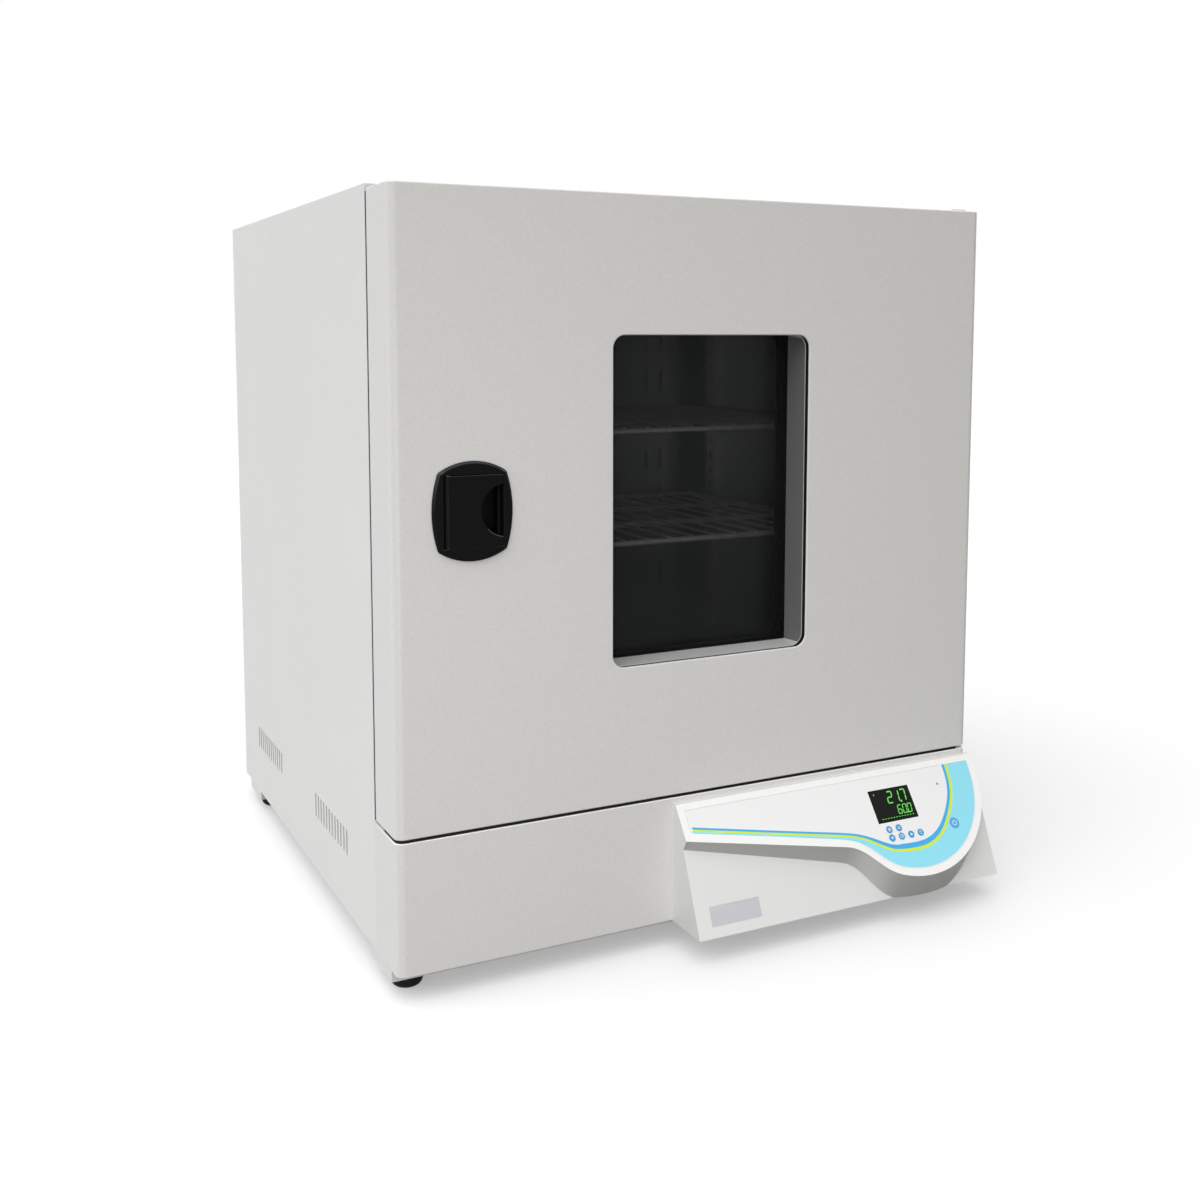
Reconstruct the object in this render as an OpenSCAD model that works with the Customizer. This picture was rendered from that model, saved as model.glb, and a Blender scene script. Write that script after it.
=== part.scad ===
// Bench-top laboratory drying oven with a windowed door, a paddle latch and a
// moulded control console. Millimetres. Z is up, -Y is the front, the origin is
// on the surface it stands on, at the middle of the overall width and depth.

/* [Cabinet] */
// Width of the cabinet, the door and the plinth
cab_w = 680; // [640:5:760]
// Depth of the cabinet behind the door seal
cab_d = 610; // [600:5:680]
// Height of the cabinet from the underside of its base
body_h = 741; // [735:1:800]
// Thickness of the painted sheet steel
sheet = 1.5; // [1:0.1:2]
// Width of a folded flange on a sheet panel
flange = 18; // [12:1:24]
// Depth of the foot rails below the base
rail_h = 11; // [9:1:14]
// Width of a foot rail from front to back
rail_d = 61; // [50:1:70]
// Diameter of a rubber foot
foot_dia = 32; // [26:1:38]
// Height of a rubber foot
foot_h = 15; // [12:1:20]
// Distance from the cabinet's side to a foot's centre
foot_inset = 22; // [20:1:30]

/* [Side vents] */
// Number of slots in one vent group
vent_count = 12; // [6:1:13]
// Height of one vent slot
vent_h = 28.5; // [20:0.5:36]
// Width of one vent slot
vent_w = 5; // [4:0.5:7]
// Distance between the centres of two slots
vent_pitch = 11.5; // [10:0.5:13]
// Height of the slots' lower ends above the base
vent_low = 60; // [40:1:70]

/* [Plinth] */
// Height of the plinth cover
plinth_h = 130; // [126:1:134]
// Radius of the rounded front corners
corner_r = 9; // [5:0.5:10]

/* [Door] */
// Thickness of the door
door_t = 62.6; // [58:0.2:68]
// Gap between the plinth and the door
door_gap = 3; // [2.8:0.1:5]
// Drop of the door's top edge below the cabinet's top
door_drop = 4; // [3.6:0.1:6]
// Gap between the closed door and the cabinet
seal_gap = 5; // [4.6:0.1:7]
// Thickness of the stainless inner panel
liner = 1; // [0.8:0.1:1.5]
// Width of the door window
window_w = 229; // [200:1:260]
// Distance from the cabinet's top down to the door window
window_head = 140; // [120:1:170]
// Corner radius of the door window
window_r = 13; // [8:0.5:18]
// Height of the window's lower edge above the base
window_low = 272; // [262:1:285]
// Depth of the window recess in front of the glass
reveal = 40; // [34:0.5:41]
// Thickness of one glass pane
glass = 5; // [4:0.5:6]
// Width of the glass edge held in the frame
glass_bite = 8; // [6:0.5:10]

/* [Door hinge] */
// Radius of the hinge pins
pin_r = 4; // [3:0.25:5]
// Distance from the cabinet's right side to the hinge axis
pin_side = 12; // [11.5:0.25:13]
// Length of a hinge pin inside the door
pin_len = 14; // [10:1:18]
// Thickness of the hinge bracket's arm
bracket_t = 2.4; // [2:0.1:2.5]
// Radial running clearance of a pin in its bore
running = 0.06; // [0.03:0.01:0.09]

/* [Latch] */
// Width of the latch bezel
bezel_w = 80; // [76:1:88]
// Height of the latch bezel
bezel_h = 94; // [92:1:106]
// Distance from the door's left edge to the bezel's centre
bezel_side = 78; // [76:1:86]
// Height of the latch centre above the base
latch_z = 438; // [420:1:460]
// Height of the latch paddle
paddle_h = 67.4; // [60:0.2:70]
// Width of the latch paddle
paddle_w = 58; // [54:0.5:62]
// Radius of the finger scoop in the paddle
scoop_r = 25; // [20:0.5:27]
// Radius of the paddle's hinge barrel
barrel_r = 4.5; // [4:0.1:5]
// Radius of the latch pin
latch_pin_r = 2; // [1.5:0.1:2.4]
// Depth of the latch housing behind the door's face
latch_depth = 26; // [24:0.5:28]
// Thickness of the sliding tongue
tongue_t = 4; // [3:0.2:5]

/* [Control console] */
// Width of the console
console_w = 386; // [360:1:400]
// Height of the console
console_h = 124; // [120:1:126]
// Forward reach of the console's lower edge
console_toe = 56; // [50:1:62]
// Depth of the ledge on top of the console
console_ledge = 5; // [4:0.5:8]
// Tilt of the keypad plate from the vertical
plate_tilt = 36; // [33:0.5:38]
// Height of the keypad plate at its left end, along the plate
plate_low = 38; // [34:0.5:42]
// Height of the keypad plate where the round lobe starts
plate_waist = 75; // [70:0.5:80]
// Distance of the waist from the console's right end
waist_right = 202; // [196:1:210]
// Radius of the round lobe that carries the display and keys
lobe_r = 109; // [105:0.5:112]
// Distance of the lobe's centre below the plate's top edge
lobe_drop = 11.5; // [8:0.5:14]
// Backward lean of the walls under the keypad plate
undercut = 27; // [22:0.5:30]
// Wall thickness of the console moulding
wall = 3; // [2:0.25:3.5]
// Thickness of the keypad film
film = 0.6; // [0.4:0.1:0.8]
// Width of the rim between the film and the plate's edge
rim = 8; // [6:0.5:9]
// Width of the display
lcd_w = 54; // [48:1:58]
// Height of the display
lcd_h = 36; // [30:1:38]
// Distance from the plate's top edge to the display's centre
lcd_drop = 40; // [38:0.5:42]
// Distance between two small keys
key_pitch = 12.8; // [12:0.1:14]
// Diameter of a small key
key_dia = 7.4; // [6:0.1:8.2]
// Diameter of the power key
power_dia = 11.6; // [10:0.2:13]
// Travel of a key
key_travel = 0.5; // [0.3:0.05:0.7]

/* [Chamber] */
// Thickness of the insulated wall at each side of the chamber
side_wall = 80; // [76:1:100]
// Thickness of the insulated wall above the chamber
roof_wall = 71; // [60:1:90]
// Depth of the space for the motor and the boards behind the insulation
rear_space = 77.5; // [72:0.5:100]
// Height of the chamber floor above the base
chamber_low = 190; // [182:1:198]
// Depth of the air duct behind the baffle
duct_d = 52; // [48:1:56]
// Thickness of the rear insulation
rear_wool = 60; // [50:1:64]
// Radius of a shelf's frame rod
rod_r = 3; // [2.5:0.25:3.5]
// Radius of a shelf's thin wires
wire_r = 1.5; // [1.25:0.25:2]
// Number of thin wires on one shelf
wire_count = 17; // [11:2:23]
// Height of the lower shelf above the chamber floor
shelf_low = 190; // [160:20:200]
// Distance between the two shelves
shelf_step = 120; // [100:20:140]

/* [Air circulation] */
// Outer radius of the fan wheel
fan_r = 75; // [65:1:80]
// Width of the fan wheel
fan_w = 30; // [24:1:32]
// Number of fan blades
blade_count = 24; // [16:1:30]
// Radius of the fan shaft
shaft_r = 4; // [3:0.25:5]
// Radius of the motor
motor_r = 38; // [32:1:42]
// Outer radius of the exhaust spigot
vent_r = 26; // [22:0.5:30]
// Length of the exhaust spigot behind the back panel
vent_out = 30; // [24:1:36]

/* [Hidden] */
$fn = 48;

eps = 0.01;
seat = 0.3;

// Levels above the floor
base_z = foot_h + rail_h;
top_z = base_z + body_h;
plinth_top = base_z + plinth_h;
door_z = plinth_top + door_gap;
door_top = top_z - door_drop;
tray_z = plinth_top;
chamber_z = base_z + chamber_low;
chamber_h = body_h - chamber_low - roof_wall;
window_z = base_z + window_low;
window_h = body_h - window_low - window_head;
latch_level = base_z + latch_z;

// Depths, from the front backwards
lobe_reach = console_ledge + (lobe_drop + lobe_r) * sin(plate_tilt);
total_d = lobe_reach + door_t + seal_gap + cab_d + vent_out;
door_y = lobe_reach - total_d / 2;
door_back = door_y + door_t;
cab_y = door_back + seal_gap;
back_y = cab_y + cab_d;
liner_y = cab_y + sheet;
chamber_d = cab_d - sheet - liner - rear_wool - rear_space;
chamber_back_y = liner_y + chamber_d;
casing_y = chamber_back_y + liner + rear_wool;
duct_y = chamber_back_y - duct_d;

// Widths
side = cab_w / 2;
inner_side = side - sheet;
chamber_w = cab_w - 2 * side_wall;
pin_x = side - pin_side;
pin_y = door_y + door_t / 2;
bezel_x = -side + bezel_side;

// Colours
steel_white = [0.87, 0.87, 0.86];
door_grey = [0.79, 0.78, 0.76];
stainless = [0.72, 0.73, 0.74];
black_plastic = [0.05, 0.05, 0.055];
rubber_black = [0.03, 0.03, 0.03];
console_white = [0.95, 0.95, 0.94];
wool_yellow = [0.85, 0.8, 0.62];
board_green = [0.1, 0.35, 0.2];
pale_blue = [0.57, 0.89, 0.97];
zinc = [0.62, 0.64, 0.66];

// A block given by its low and high corners
module block(low, high) {
    translate(low) cube([high[0] - low[0], high[1] - low[1], high[2] - low[2]]);
}

// A rectangle with round corners, centred
module round_rect(w, h, r) {
    for (sx = [-1, 1], sy = [-1, 1])
        translate([sx * (w / 2 - r), sy * (h / 2 - r)]) circle(r);
    square([w - 2 * r, h], center = true);
    square([w, h - 2 * r], center = true);
}

// A flat outline set upright: its x stays x, its y becomes z, its thickness runs back from y
module upright(y, depth) {
    translate([0, y + depth, 0]) rotate([90, 0, 0]) linear_extrude(height = depth) children();
}

// A rod along y
module rod_y(x, y, z, r, len) {
    translate([x, y, z]) rotate([-90, 0, 0]) cylinder(h = len, r = r);
}

// Points of an ellipse's arc
function arc_points(cx, cy, rx, ry, from, to, steps) =
    [for (i = [0:steps]) let (a = from + (to - from) * i / steps)
        [cx + rx * cos(a), cy + ry * sin(a)]];

// Two groups of slots, cut through a side panel
vent_front = 99;
vent_rear = 391;

module vent_group(y) {
    for (i = [0:vent_count - 1])
        translate([-side, y + vent_w / 2 + i * vent_pitch, base_z + vent_low + vent_h / 2])
            rotate([0, 90, 0]) linear_extrude(height = 4 * sheet, center = true)
                round_rect(vent_h, vent_w, vent_w / 2 - eps);
}

// Left side panel: a sheet with folded flanges that carry the top, the base and the back
module side_sheet() {
    difference() {
        block([-side, cab_y, base_z], [-side + flange, back_y - sheet, top_z]);
        block([-inner_side, cab_y - 1, base_z + sheet],
              [-side + flange + 1, back_y - 2 * sheet, top_z - 2 * sheet]);
        block([-inner_side, cab_y - 1, top_z - sheet], [-side + flange + 1, back_y, top_z + 1]);
        for (z = [base_z, top_z - 2 * sheet])
            block([-inner_side, cab_y - 1, z - 1],
                  [-side + flange + 1, cab_y + flange, z + sheet + 1]);
        vent_group(cab_y + vent_front);
        vent_group(cab_y + vent_rear);
    }
}

module left_side_panel() color(steel_white) side_sheet();

module right_side_panel() color(steel_white) mirror([1, 0, 0]) side_sheet();

module top_panel() color(steel_white) {
    block([-inner_side, cab_y, top_z - sheet], [inner_side, back_y - sheet, top_z]);
    block([-side + flange + 1, back_y - 2 * sheet, top_z - flange],
          [side - flange - 1, back_y - sheet, top_z - sheet]);
}

// Back panel with the exhaust hole, the inlet's cut-out and the motor's louvres
exhaust_x = 150;
exhaust_z = chamber_z + chamber_h - 70;
inlet_side = 90;
inlet_x = inlet_side - side;
inlet_z = base_z + 60;
inlet_w = 27;
inlet_h = 20;
louvre_w = 90;
louvre_h = 5;
louvre_count = 7;
louvre_pitch = 14;

module back_panel() color(steel_white) difference() {
    block([-side, back_y - sheet, base_z], [side, back_y, top_z]);
    rod_y(exhaust_x, back_y - sheet - 1, exhaust_z, vent_r + seat, sheet + 2);
    block([inlet_x - inlet_w / 2 - seat, back_y - sheet - 1, inlet_z - inlet_h / 2 - seat],
          [inlet_x + inlet_w / 2 + seat, back_y + 1, inlet_z + inlet_h / 2 + seat]);
    for (sx = [-1, 1], i = [0:louvre_count - 1])
        translate([sx * 90, 0, base_z + 28 + i * louvre_pitch])
            upright(back_y - sheet - 1, sheet + 2) round_rect(louvre_w, louvre_h, louvre_h / 2 - eps);
}

module base_pan() color(zinc) {
    block([-inner_side, cab_y + flange, base_z + sheet],
          [inner_side, back_y - 2 * sheet, base_z + 2 * sheet]);
    block([-inner_side, cab_y + flange, base_z + 2 * sheet],
          [inner_side, cab_y + flange + sheet, base_z + 2 * sheet + flange]);
    block([-inner_side, cab_y, base_z], [inner_side, cab_y + flange, base_z + sheet]);
    block([-inner_side, cab_y + flange - sheet, base_z], [inner_side, cab_y + flange, base_z + 3]);
}

// Front frame around the chamber's mouth
module front_frame() color(steel_white) difference() {
    block([-inner_side, cab_y, plinth_top], [inner_side, liner_y, top_z - sheet]);
    block([-chamber_w / 2, cab_y - 1, chamber_z],
          [chamber_w / 2, liner_y + 1, chamber_z + chamber_h]);
}

// Places where shaft, heater legs, probe and exhaust pass the rear wall
fan_z = chamber_z + chamber_h / 2;
heater_r = 4;
ring_radii = [fan_r + 13, fan_r + 26];
leg_spread = 9;
probe_r = 2.5;
probe_x = 60;
probe_z = chamber_z + chamber_h - 12;
pipe_wall = 2;

module heater_leg_places() {
    for (r = ring_radii, sx = [-1, 1])
        translate([sx * r * sin(leg_spread), 0, fan_z - r * cos(leg_spread)]) children();
}

module rear_passages(y, depth, slack) {
    rod_y(0, y, fan_z, shaft_r + 3, depth);
    rod_y(probe_x, y, probe_z, probe_r + slack, depth);
    rod_y(exhaust_x, y, exhaust_z, vent_r + slack, depth);
    heater_leg_places() rod_y(0, y, 0, heater_r + slack, depth);
}

// Zinc-plated casing that holds the wool under and behind the chamber
module insulation_casing() color(zinc) difference() {
    union() {
        block([-inner_side + seat, liner_y, tray_z], [inner_side - seat, casing_y, tray_z + liner]);
        block([-inner_side + seat, casing_y, tray_z],
              [inner_side - seat, casing_y + liner, top_z - 2 * sheet - seat]);
    }
    rear_passages(casing_y - 1, liner + 2, seat);
}

// Outline of door and plinth seen from above, with round front corners
module front_plan(inset, r) {
    x = side - inset;
    y = door_y + inset;
    hull_y = cab_y - y;
    for (sx = [-1, 1]) translate([sx * (x - r), y + r]) circle(r);
    translate([-x + r, y]) square([2 * (x - r), hull_y]);
    translate([-x, y + r]) square([2 * x, hull_y - r]);
}

module front_prism(inset, r, low, high, back) {
    intersection() {
        translate([0, 0, low]) linear_extrude(height = high - low) front_plan(inset, r);
        block([-cab_w, door_y - 1, low - 1], [cab_w, back, high + 1]);
    }
}

console_left = side - console_w;

module plinth_cover() color(door_grey) difference() {
    front_prism(0, corner_r, base_z, plinth_top, cab_y);
    front_prism(sheet, corner_r - sheet, base_z - 1, plinth_top - sheet, cab_y + 1);
    block([-inner_side, cab_y - 4, base_z - 1], [inner_side, cab_y + 1, plinth_top - sheet]);
    block([console_left + 40, door_y - 1, base_z + 30],
          [side - 40, door_y + sheet + 1, base_z + console_h - 30]);
}

// Foot rail: a shallow folded tray across the width
rail_front_y = door_y + 20;
rail_rear_y = back_y - 92;

module foot_rail(y) {
    difference() {
        block([-side, y, foot_h], [side, y + rail_d, base_z]);
        block([-inner_side, y + sheet, foot_h + sheet], [inner_side, y + rail_d - sheet, base_z + 1]);
    }
}

module front_foot_rail() color(door_grey) foot_rail(rail_front_y);

module rear_foot_rail() color(door_grey) foot_rail(rail_rear_y);

module rubber_feet() color(rubber_black)
    for (sx = [-1, 1], y = [rail_front_y, rail_rear_y])
        translate([sx * (side - foot_inset), y + rail_d / 2 - 8, 0])
            rotate_extrude() intersection() {
                union() {
                    translate([foot_dia / 2 - foot_h / 2, foot_h / 2]) circle(foot_h / 2);
                    square([foot_dia / 2 - foot_h / 2, foot_h]);
                }
                square([foot_dia, foot_h]);
            }

// Chamber: five plain stainless sheets, folded edges left out where they are buried
module chamber_side(sx) {
    x = sx * (chamber_w / 2 + liner / 2);
    translate([x - liner / 2, liner_y, chamber_z]) cube([liner, chamber_d, chamber_h]);
}

module chamber_left_wall() color(stainless) chamber_side(-1);

module chamber_right_wall() color(stainless) chamber_side(1);

module chamber_cover(z) {
    translate([-chamber_w / 2 - liner, liner_y, z]) cube([chamber_w + 2 * liner, chamber_d, liner]);
}

module chamber_ceiling() color(stainless) chamber_cover(chamber_z + chamber_h);

module chamber_floor() color(stainless) chamber_cover(chamber_z - liner);

module chamber_back() color(stainless) difference() {
    block([-chamber_w / 2 - liner, chamber_back_y, chamber_z - liner],
          [chamber_w / 2 + liner, chamber_back_y + liner, chamber_z + chamber_h + liner]);
    rear_passages(chamber_back_y - 1, liner + 2, seat);
}

// Mineral wool slabs round the chamber
module chamber_insulation() color(wool_yellow) {
    half = chamber_w / 2 + liner + seat;
    wool_top = top_z - 2 * sheet - seat;
    wool_low = tray_z + liner + seat;
    for (sx = [0, 1]) mirror([sx, 0, 0])
        block([half, liner_y + seat, wool_low], [inner_side - seat, casing_y - seat, wool_top]);
    block([-half + seat, liner_y + seat, chamber_z + chamber_h + liner + seat],
          [half - seat, casing_y - seat, wool_top]);
    block([-half + seat, liner_y + seat, wool_low],
          [half - seat, casing_y - seat, chamber_z - liner - seat]);
    difference() {
        block([-half + seat, chamber_back_y + liner + seat, chamber_z - liner],
              [half - seat, casing_y - seat, chamber_z + chamber_h + liner]);
        rear_passages(chamber_back_y, rear_wool + 2, 2 * seat);
    }
}

// Slotted hat-section uprights for the shelf clips
upright_w = 20;
upright_t = 8;
upright_wall = 1.2;
upright_margin = 12;
slot_pitch = 20;
slot_w = 5;
slot_h = 9;
upright_ys = [liner_y + 70, duct_y - 60];
upright_h = chamber_h - 2 * upright_margin;
slot_count = floor((upright_h - slot_h) / slot_pitch);

module shelf_uprights() color(stainless)
    for (mx = [0, 1], y = upright_ys) mirror([mx, 0, 0])
        translate([chamber_w / 2 - upright_t, y - upright_w / 2, chamber_z + upright_margin])
            difference() {
                cube([upright_t, upright_w, upright_h]);
                translate([upright_wall, upright_wall, -1])
                    cube([upright_t, upright_w - 2 * upright_wall, upright_h + 2]);
                for (i = [0:slot_count - 1])
                    translate([-1, (upright_w - slot_w) / 2, slot_pitch * (i + 0.5)])
                        cube([upright_wall + 2, slot_w, slot_h]);
            }

shelf_levels = [chamber_z + shelf_low, chamber_z + shelf_low + shelf_step];
shelf_x = chamber_w / 2 - upright_t - rod_r - 1;
clip_t = 2;
clip_w = 14;
clip_reach = 2 * rod_r + 5;

// Shelf clips: angle brackets hooked on the uprights, under the side rods
module shelf_clips() color(stainless)
    for (mx = [0, 1], y = upright_ys, z = shelf_levels) mirror([mx, 0, 0])
        translate([chamber_w / 2 - upright_t, y - clip_w / 2, z - rod_r]) {
            translate([-clip_reach, 0, -clip_t]) cube([clip_reach, clip_w, clip_t]);
            translate([-clip_t, 0, -16]) cube([clip_t, clip_w, 16]);
        }

// Wire shelf: a round-rod frame, two cross rods and thin wires welded on top
shelf_front_y = liner_y + 25;
shelf_back_y = duct_y - 12;
wire_z = rod_r + wire_r - 0.8;

module wire_shelf(z) {
    depth = shelf_back_y - shelf_front_y;
    translate([0, 0, z]) {
        for (sx = [-1, 1]) {
            rod_y(sx * shelf_x, shelf_front_y, 0, rod_r, depth);
            for (y = [shelf_front_y, shelf_back_y]) translate([sx * shelf_x, y, 0]) sphere(rod_r);
        }
        for (y = [shelf_front_y, shelf_front_y + depth / 3, shelf_back_y - depth / 3, shelf_back_y])
            translate([-shelf_x, y, 0]) rotate([0, 90, 0]) cylinder(h = 2 * shelf_x, r = rod_r);
        for (i = [1:wire_count])
            rod_y(-shelf_x + 2 * shelf_x * i / (wire_count + 1), shelf_front_y - 2, wire_z,
                  wire_r, depth + 4);
    }
}

module upper_shelf() color(stainless) wire_shelf(shelf_levels[1]);

module lower_shelf() color(stainless) wire_shelf(shelf_levels[0]);

// Air baffle: a shallow pan over the fan, with a round intake grid and side outlets
baffle_side = chamber_w / 2 - 25;
baffle_margin = 20;
intake_r = 5;
intake_step = 14;
outlet_h = 30;
outlet_w = 6;
outlet_step = 54;
outlet_rows = floor((chamber_h / 2 - baffle_margin - outlet_h) / outlet_step);
outlet_side = 30;
outlet_pitch = 22;

module air_baffle() color(stainless) difference() {
    block([-baffle_side, duct_y, chamber_z + baffle_margin],
          [baffle_side, chamber_back_y, chamber_z + chamber_h - baffle_margin]);
    block([-baffle_side + liner, duct_y + liner, chamber_z + baffle_margin + liner],
          [baffle_side - liner, chamber_back_y + 1, chamber_z + chamber_h - baffle_margin - liner]);
    rod_y(0, duct_y - 1, fan_z, intake_r, liner + 2);
    for (ring = [1:3], i = [0:6 * ring - 1])
        rod_y(ring * intake_step * cos(60 * i / ring), duct_y - 1,
              fan_z + ring * intake_step * sin(60 * i / ring), intake_r, liner + 2);
    for (sx = [-1, 1], col = [0, 1], row = [-outlet_rows:outlet_rows])
        translate([sx * (baffle_side - outlet_side - outlet_pitch * col), 0, fan_z + row * outlet_step])
            upright(duct_y - 1, liner + 2) round_rect(outlet_w, outlet_h, outlet_w / 2 - eps);
}

// Tubular heater: two rings round the fan, their legs led out through the rear wall
heater_ys = [duct_y + 30, duct_y + 15];
heater_end_y = casing_y + liner + 8;
elbow_swell = 0.4;

module heating_element() color(zinc)
    for (i = [0, 1]) {
        r = ring_radii[i];
        y = heater_ys[i];
        translate([0, y, fan_z]) rotate([90, 0, 0]) rotate([0, 0, leg_spread - 90])
            rotate_extrude(angle = 360 - 2 * leg_spread) translate([r, 0]) circle(heater_r);
        for (sx = [-1, 1]) {
            translate([sx * r * sin(leg_spread), y, fan_z - r * cos(leg_spread)])
                sphere(heater_r + elbow_swell);
            rod_y(sx * r * sin(leg_spread), y, fan_z - r * cos(leg_spread), heater_r,
                  heater_end_y - y);
        }
    }

probe_tip_y = duct_y - 45;

module temperature_probe() color(stainless) {
    rod_y(probe_x, probe_tip_y + probe_r, probe_z, probe_r, casing_y + liner + 10 - probe_tip_y);
    translate([probe_x, probe_tip_y + probe_r, probe_z]) sphere(probe_r);
    rod_y(probe_x, casing_y + liner, probe_z, probe_r + 3, 6);
}

// Motor behind the casing, with a square mounting flange
motor_len = 46;
motor_flange = 92;
motor_flange_t = 4;
boss_r = 14;

module fan_motor() color(zinc) difference() {
    union() {
        translate([0, 0, fan_z]) upright(casing_y + liner, motor_flange_t)
            round_rect(motor_flange, motor_flange, 8);
        rod_y(0, casing_y + liner, fan_z, motor_r, motor_len);
        rod_y(0, casing_y + liner + motor_len, fan_z, boss_r, 4);
    }
    rod_y(0, casing_y + liner - 1, fan_z, shaft_r + running, motor_len - 4);
    for (i = [0:11])
        translate([0, casing_y + liner + 16, fan_z]) rotate([0, 30 * i, 0])
            translate([motor_r - 1.5, 0, -2]) cube([3, motor_len - 22, 4]);
}

// Silicone seal in front of the chamber's mouth
seal_in = 10;
seal_out = 26;

module door_gasket() color(rubber_black)
    translate([0, 0, fan_z]) upright(door_back + seat, seal_gap - seat) difference() {
        round_rect(chamber_w + 2 * seal_out, chamber_h + 2 * seal_out, 20);
        round_rect(chamber_w + 2 * seal_in, chamber_h + 2 * seal_in, 8);
    }

// Hinge brackets: an arm with a pin, and a leg screwed to the front frame
leg_near = 32;
leg_far = 76;
leg_h = chamber_low - seal_out - plinth_h - 2;

module bracket_arm(z) {
    block([side - leg_far, pin_y + 4, z], [side - 2, cab_y, z + bracket_t]);
    block([pin_x - 9, pin_y - 9, z], [side - 2, pin_y + 5, z + bracket_t]);
}

module top_hinge_bracket() color(zinc) {
    bracket_arm(top_z - bracket_t);
    block([side - leg_far, cab_y - bracket_t, top_z - leg_h],
          [side - leg_near, cab_y, top_z - bracket_t]);
    translate([pin_x, pin_y, door_top - pin_len])
        cylinder(h = top_z - door_top + pin_len - bracket_t / 2, r = pin_r);
}

module bottom_hinge_bracket() color(zinc) {
    bracket_arm(plinth_top);
    block([side - leg_far, cab_y - bracket_t, plinth_top],
          [side - leg_near, cab_y, plinth_top + leg_h]);
    translate([pin_x, pin_y, plinth_top + bracket_t / 2])
        cylinder(h = door_z - plinth_top + pin_len - bracket_t / 2, r = pin_r);
}

// Keeper hook on the front frame, reaching into the door's back
keeper_x = -side + 17;
keeper_t = 3;
keeper_lip = 10;
hook_y = door_y + 43;
nose_gap = 1.2;
nose_x = keeper_x + keeper_lip + nose_gap;

module latch_keeper() color(zinc) {
    block([keeper_x - 6, cab_y - 1.6, latch_level - 20], [keeper_x + 20, cab_y, latch_level + 20]);
    block([keeper_x, hook_y, latch_level - 8], [keeper_x + keeper_t, cab_y, latch_level + 8]);
    block([keeper_x, hook_y, latch_level - 8],
          [keeper_x + keeper_lip, hook_y + keeper_t, latch_level + 8]);
}

// Control console: a wedge with a tilted keypad plate that swells into a round lobe
console_front = door_y - console_toe;
lower_tilt = atan((console_toe - console_ledge) / console_h);
lobe_x = console_w - lobe_r;
waist_x = console_w - waist_right;
wall_scale = sin(plate_tilt + undercut);
slope = (plate_waist - plate_low) / waist_x;
slope_angle = atan(slope);
joint_angle = 110;

// Local frame on the keypad plate: x to the right, y up the plate, z outwards
module on_plate()
    translate([console_left, door_y - console_ledge, base_z + console_h])
        rotate([90 - plate_tilt, 0, 0]) children();

// Local frame on the console's lower face
module on_lower_face()
    translate([console_left, console_front, base_z]) rotate([90 - lower_tilt, 0, 0]) children();

function bezier(a, b, c, d, steps) =
    [for (i = [0:steps]) let (t = i / steps, s = 1 - t)
        s * s * s * a + 3 * s * s * t * b + 3 * s * t * t * c + t * t * t * d];

// Outline of the keypad plate, drawn back from its edge by an inset; y is minus the drop
function plate_outline(inset, top) =
    let (r = lobe_r - inset,
         waist = [waist_x + inset * sin(slope_angle), -plate_waist + inset * cos(slope_angle)],
         joint = [lobe_x + r * cos(joint_angle), -lobe_drop - r * sin(joint_angle)],
         run = (joint[0] - waist[0]) / 2.2)
    concat([[inset, -top], [inset, -plate_low + inset * cos(slope_angle)]],
           bezier(waist, waist + run * [1, -slope],
                  joint - run * [sin(joint_angle), cos(joint_angle)], joint, 10),
           [for (i = [1:30]) let (a = joint_angle * (1 - i / 30))
               [lobe_x + r * cos(a), -lobe_drop - r * sin(a)]],
           [[console_w - inset, -top]]);

// Console body drawn in by an inset on every side; at zero it is the outer form
pad_reach = lobe_drop + lobe_r + console_h;

module console_form(inset, back) {
    low = base_z + inset;
    high = base_z + console_h - inset;
    shift = inset / cos(lower_tilt);
    intersection() {
        union() {
            translate([console_left + inset, 0, 0]) rotate([90, 0, 90])
                linear_extrude(height = console_w - 2 * inset)
                    polygon([[back, low], [back, high],
                             [door_y - console_ledge + shift + inset * tan(lower_tilt), high],
                             [console_front + shift + inset * tan(lower_tilt), low]]);
            intersection() {
                translate([console_left, door_y - console_ledge, base_z + console_h])
                    rotate([undercut, 0, 0]) translate([0, 0, -pad_reach])
                        linear_extrude(height = 1.5 * pad_reach)
                            polygon([for (p = plate_outline(inset, -4 * inset))
                                [p[0], p[1] * wall_scale]]);
                on_plate() translate([-1, -pad_reach, -pad_reach - inset])
                    cube([console_w + 2, 1.5 * pad_reach, pad_reach]);
            }
        }
        block([console_left - 1, door_y - pad_reach, low], [side + 1, back, high]);
    }
}

// Places on the plate, counted from the lobe's centre and down from the plate's top edge
lcd_x = lobe_x - 17.5;
key_first = -34.2;
key_rows = [65.8, 75];
power_place = [lobe_x + 52.5, -72.3];
lamp_place = [lobe_x + 50, -27.1];
lamp_r = 1.2;
stem_r = 1.5;
board_depth = 13;
board_t = 1.6;
post_r = 3;
key_places = [[key_first, 0], [key_first + key_pitch, 0], [key_first, 1],
              [key_first + key_pitch, 1], [key_first + 2 * key_pitch, 1],
              [key_first + 3 * key_pitch, 1]];

function key_place(i) = i < 6 ? [lobe_x + key_places[i][0], -key_rows[key_places[i][1]]]
                              : power_place;

module at_key(i) on_plate() translate([key_place(i)[0], key_place(i)[1], 0]) children();

module lcd_hole(slack, depth)
    translate([lcd_x - lcd_w / 2 - slack, -lcd_drop - lcd_h / 2 - slack, -depth])
        cube([lcd_w + 2 * slack, lcd_h + 2 * slack, depth + 1]);

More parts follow.
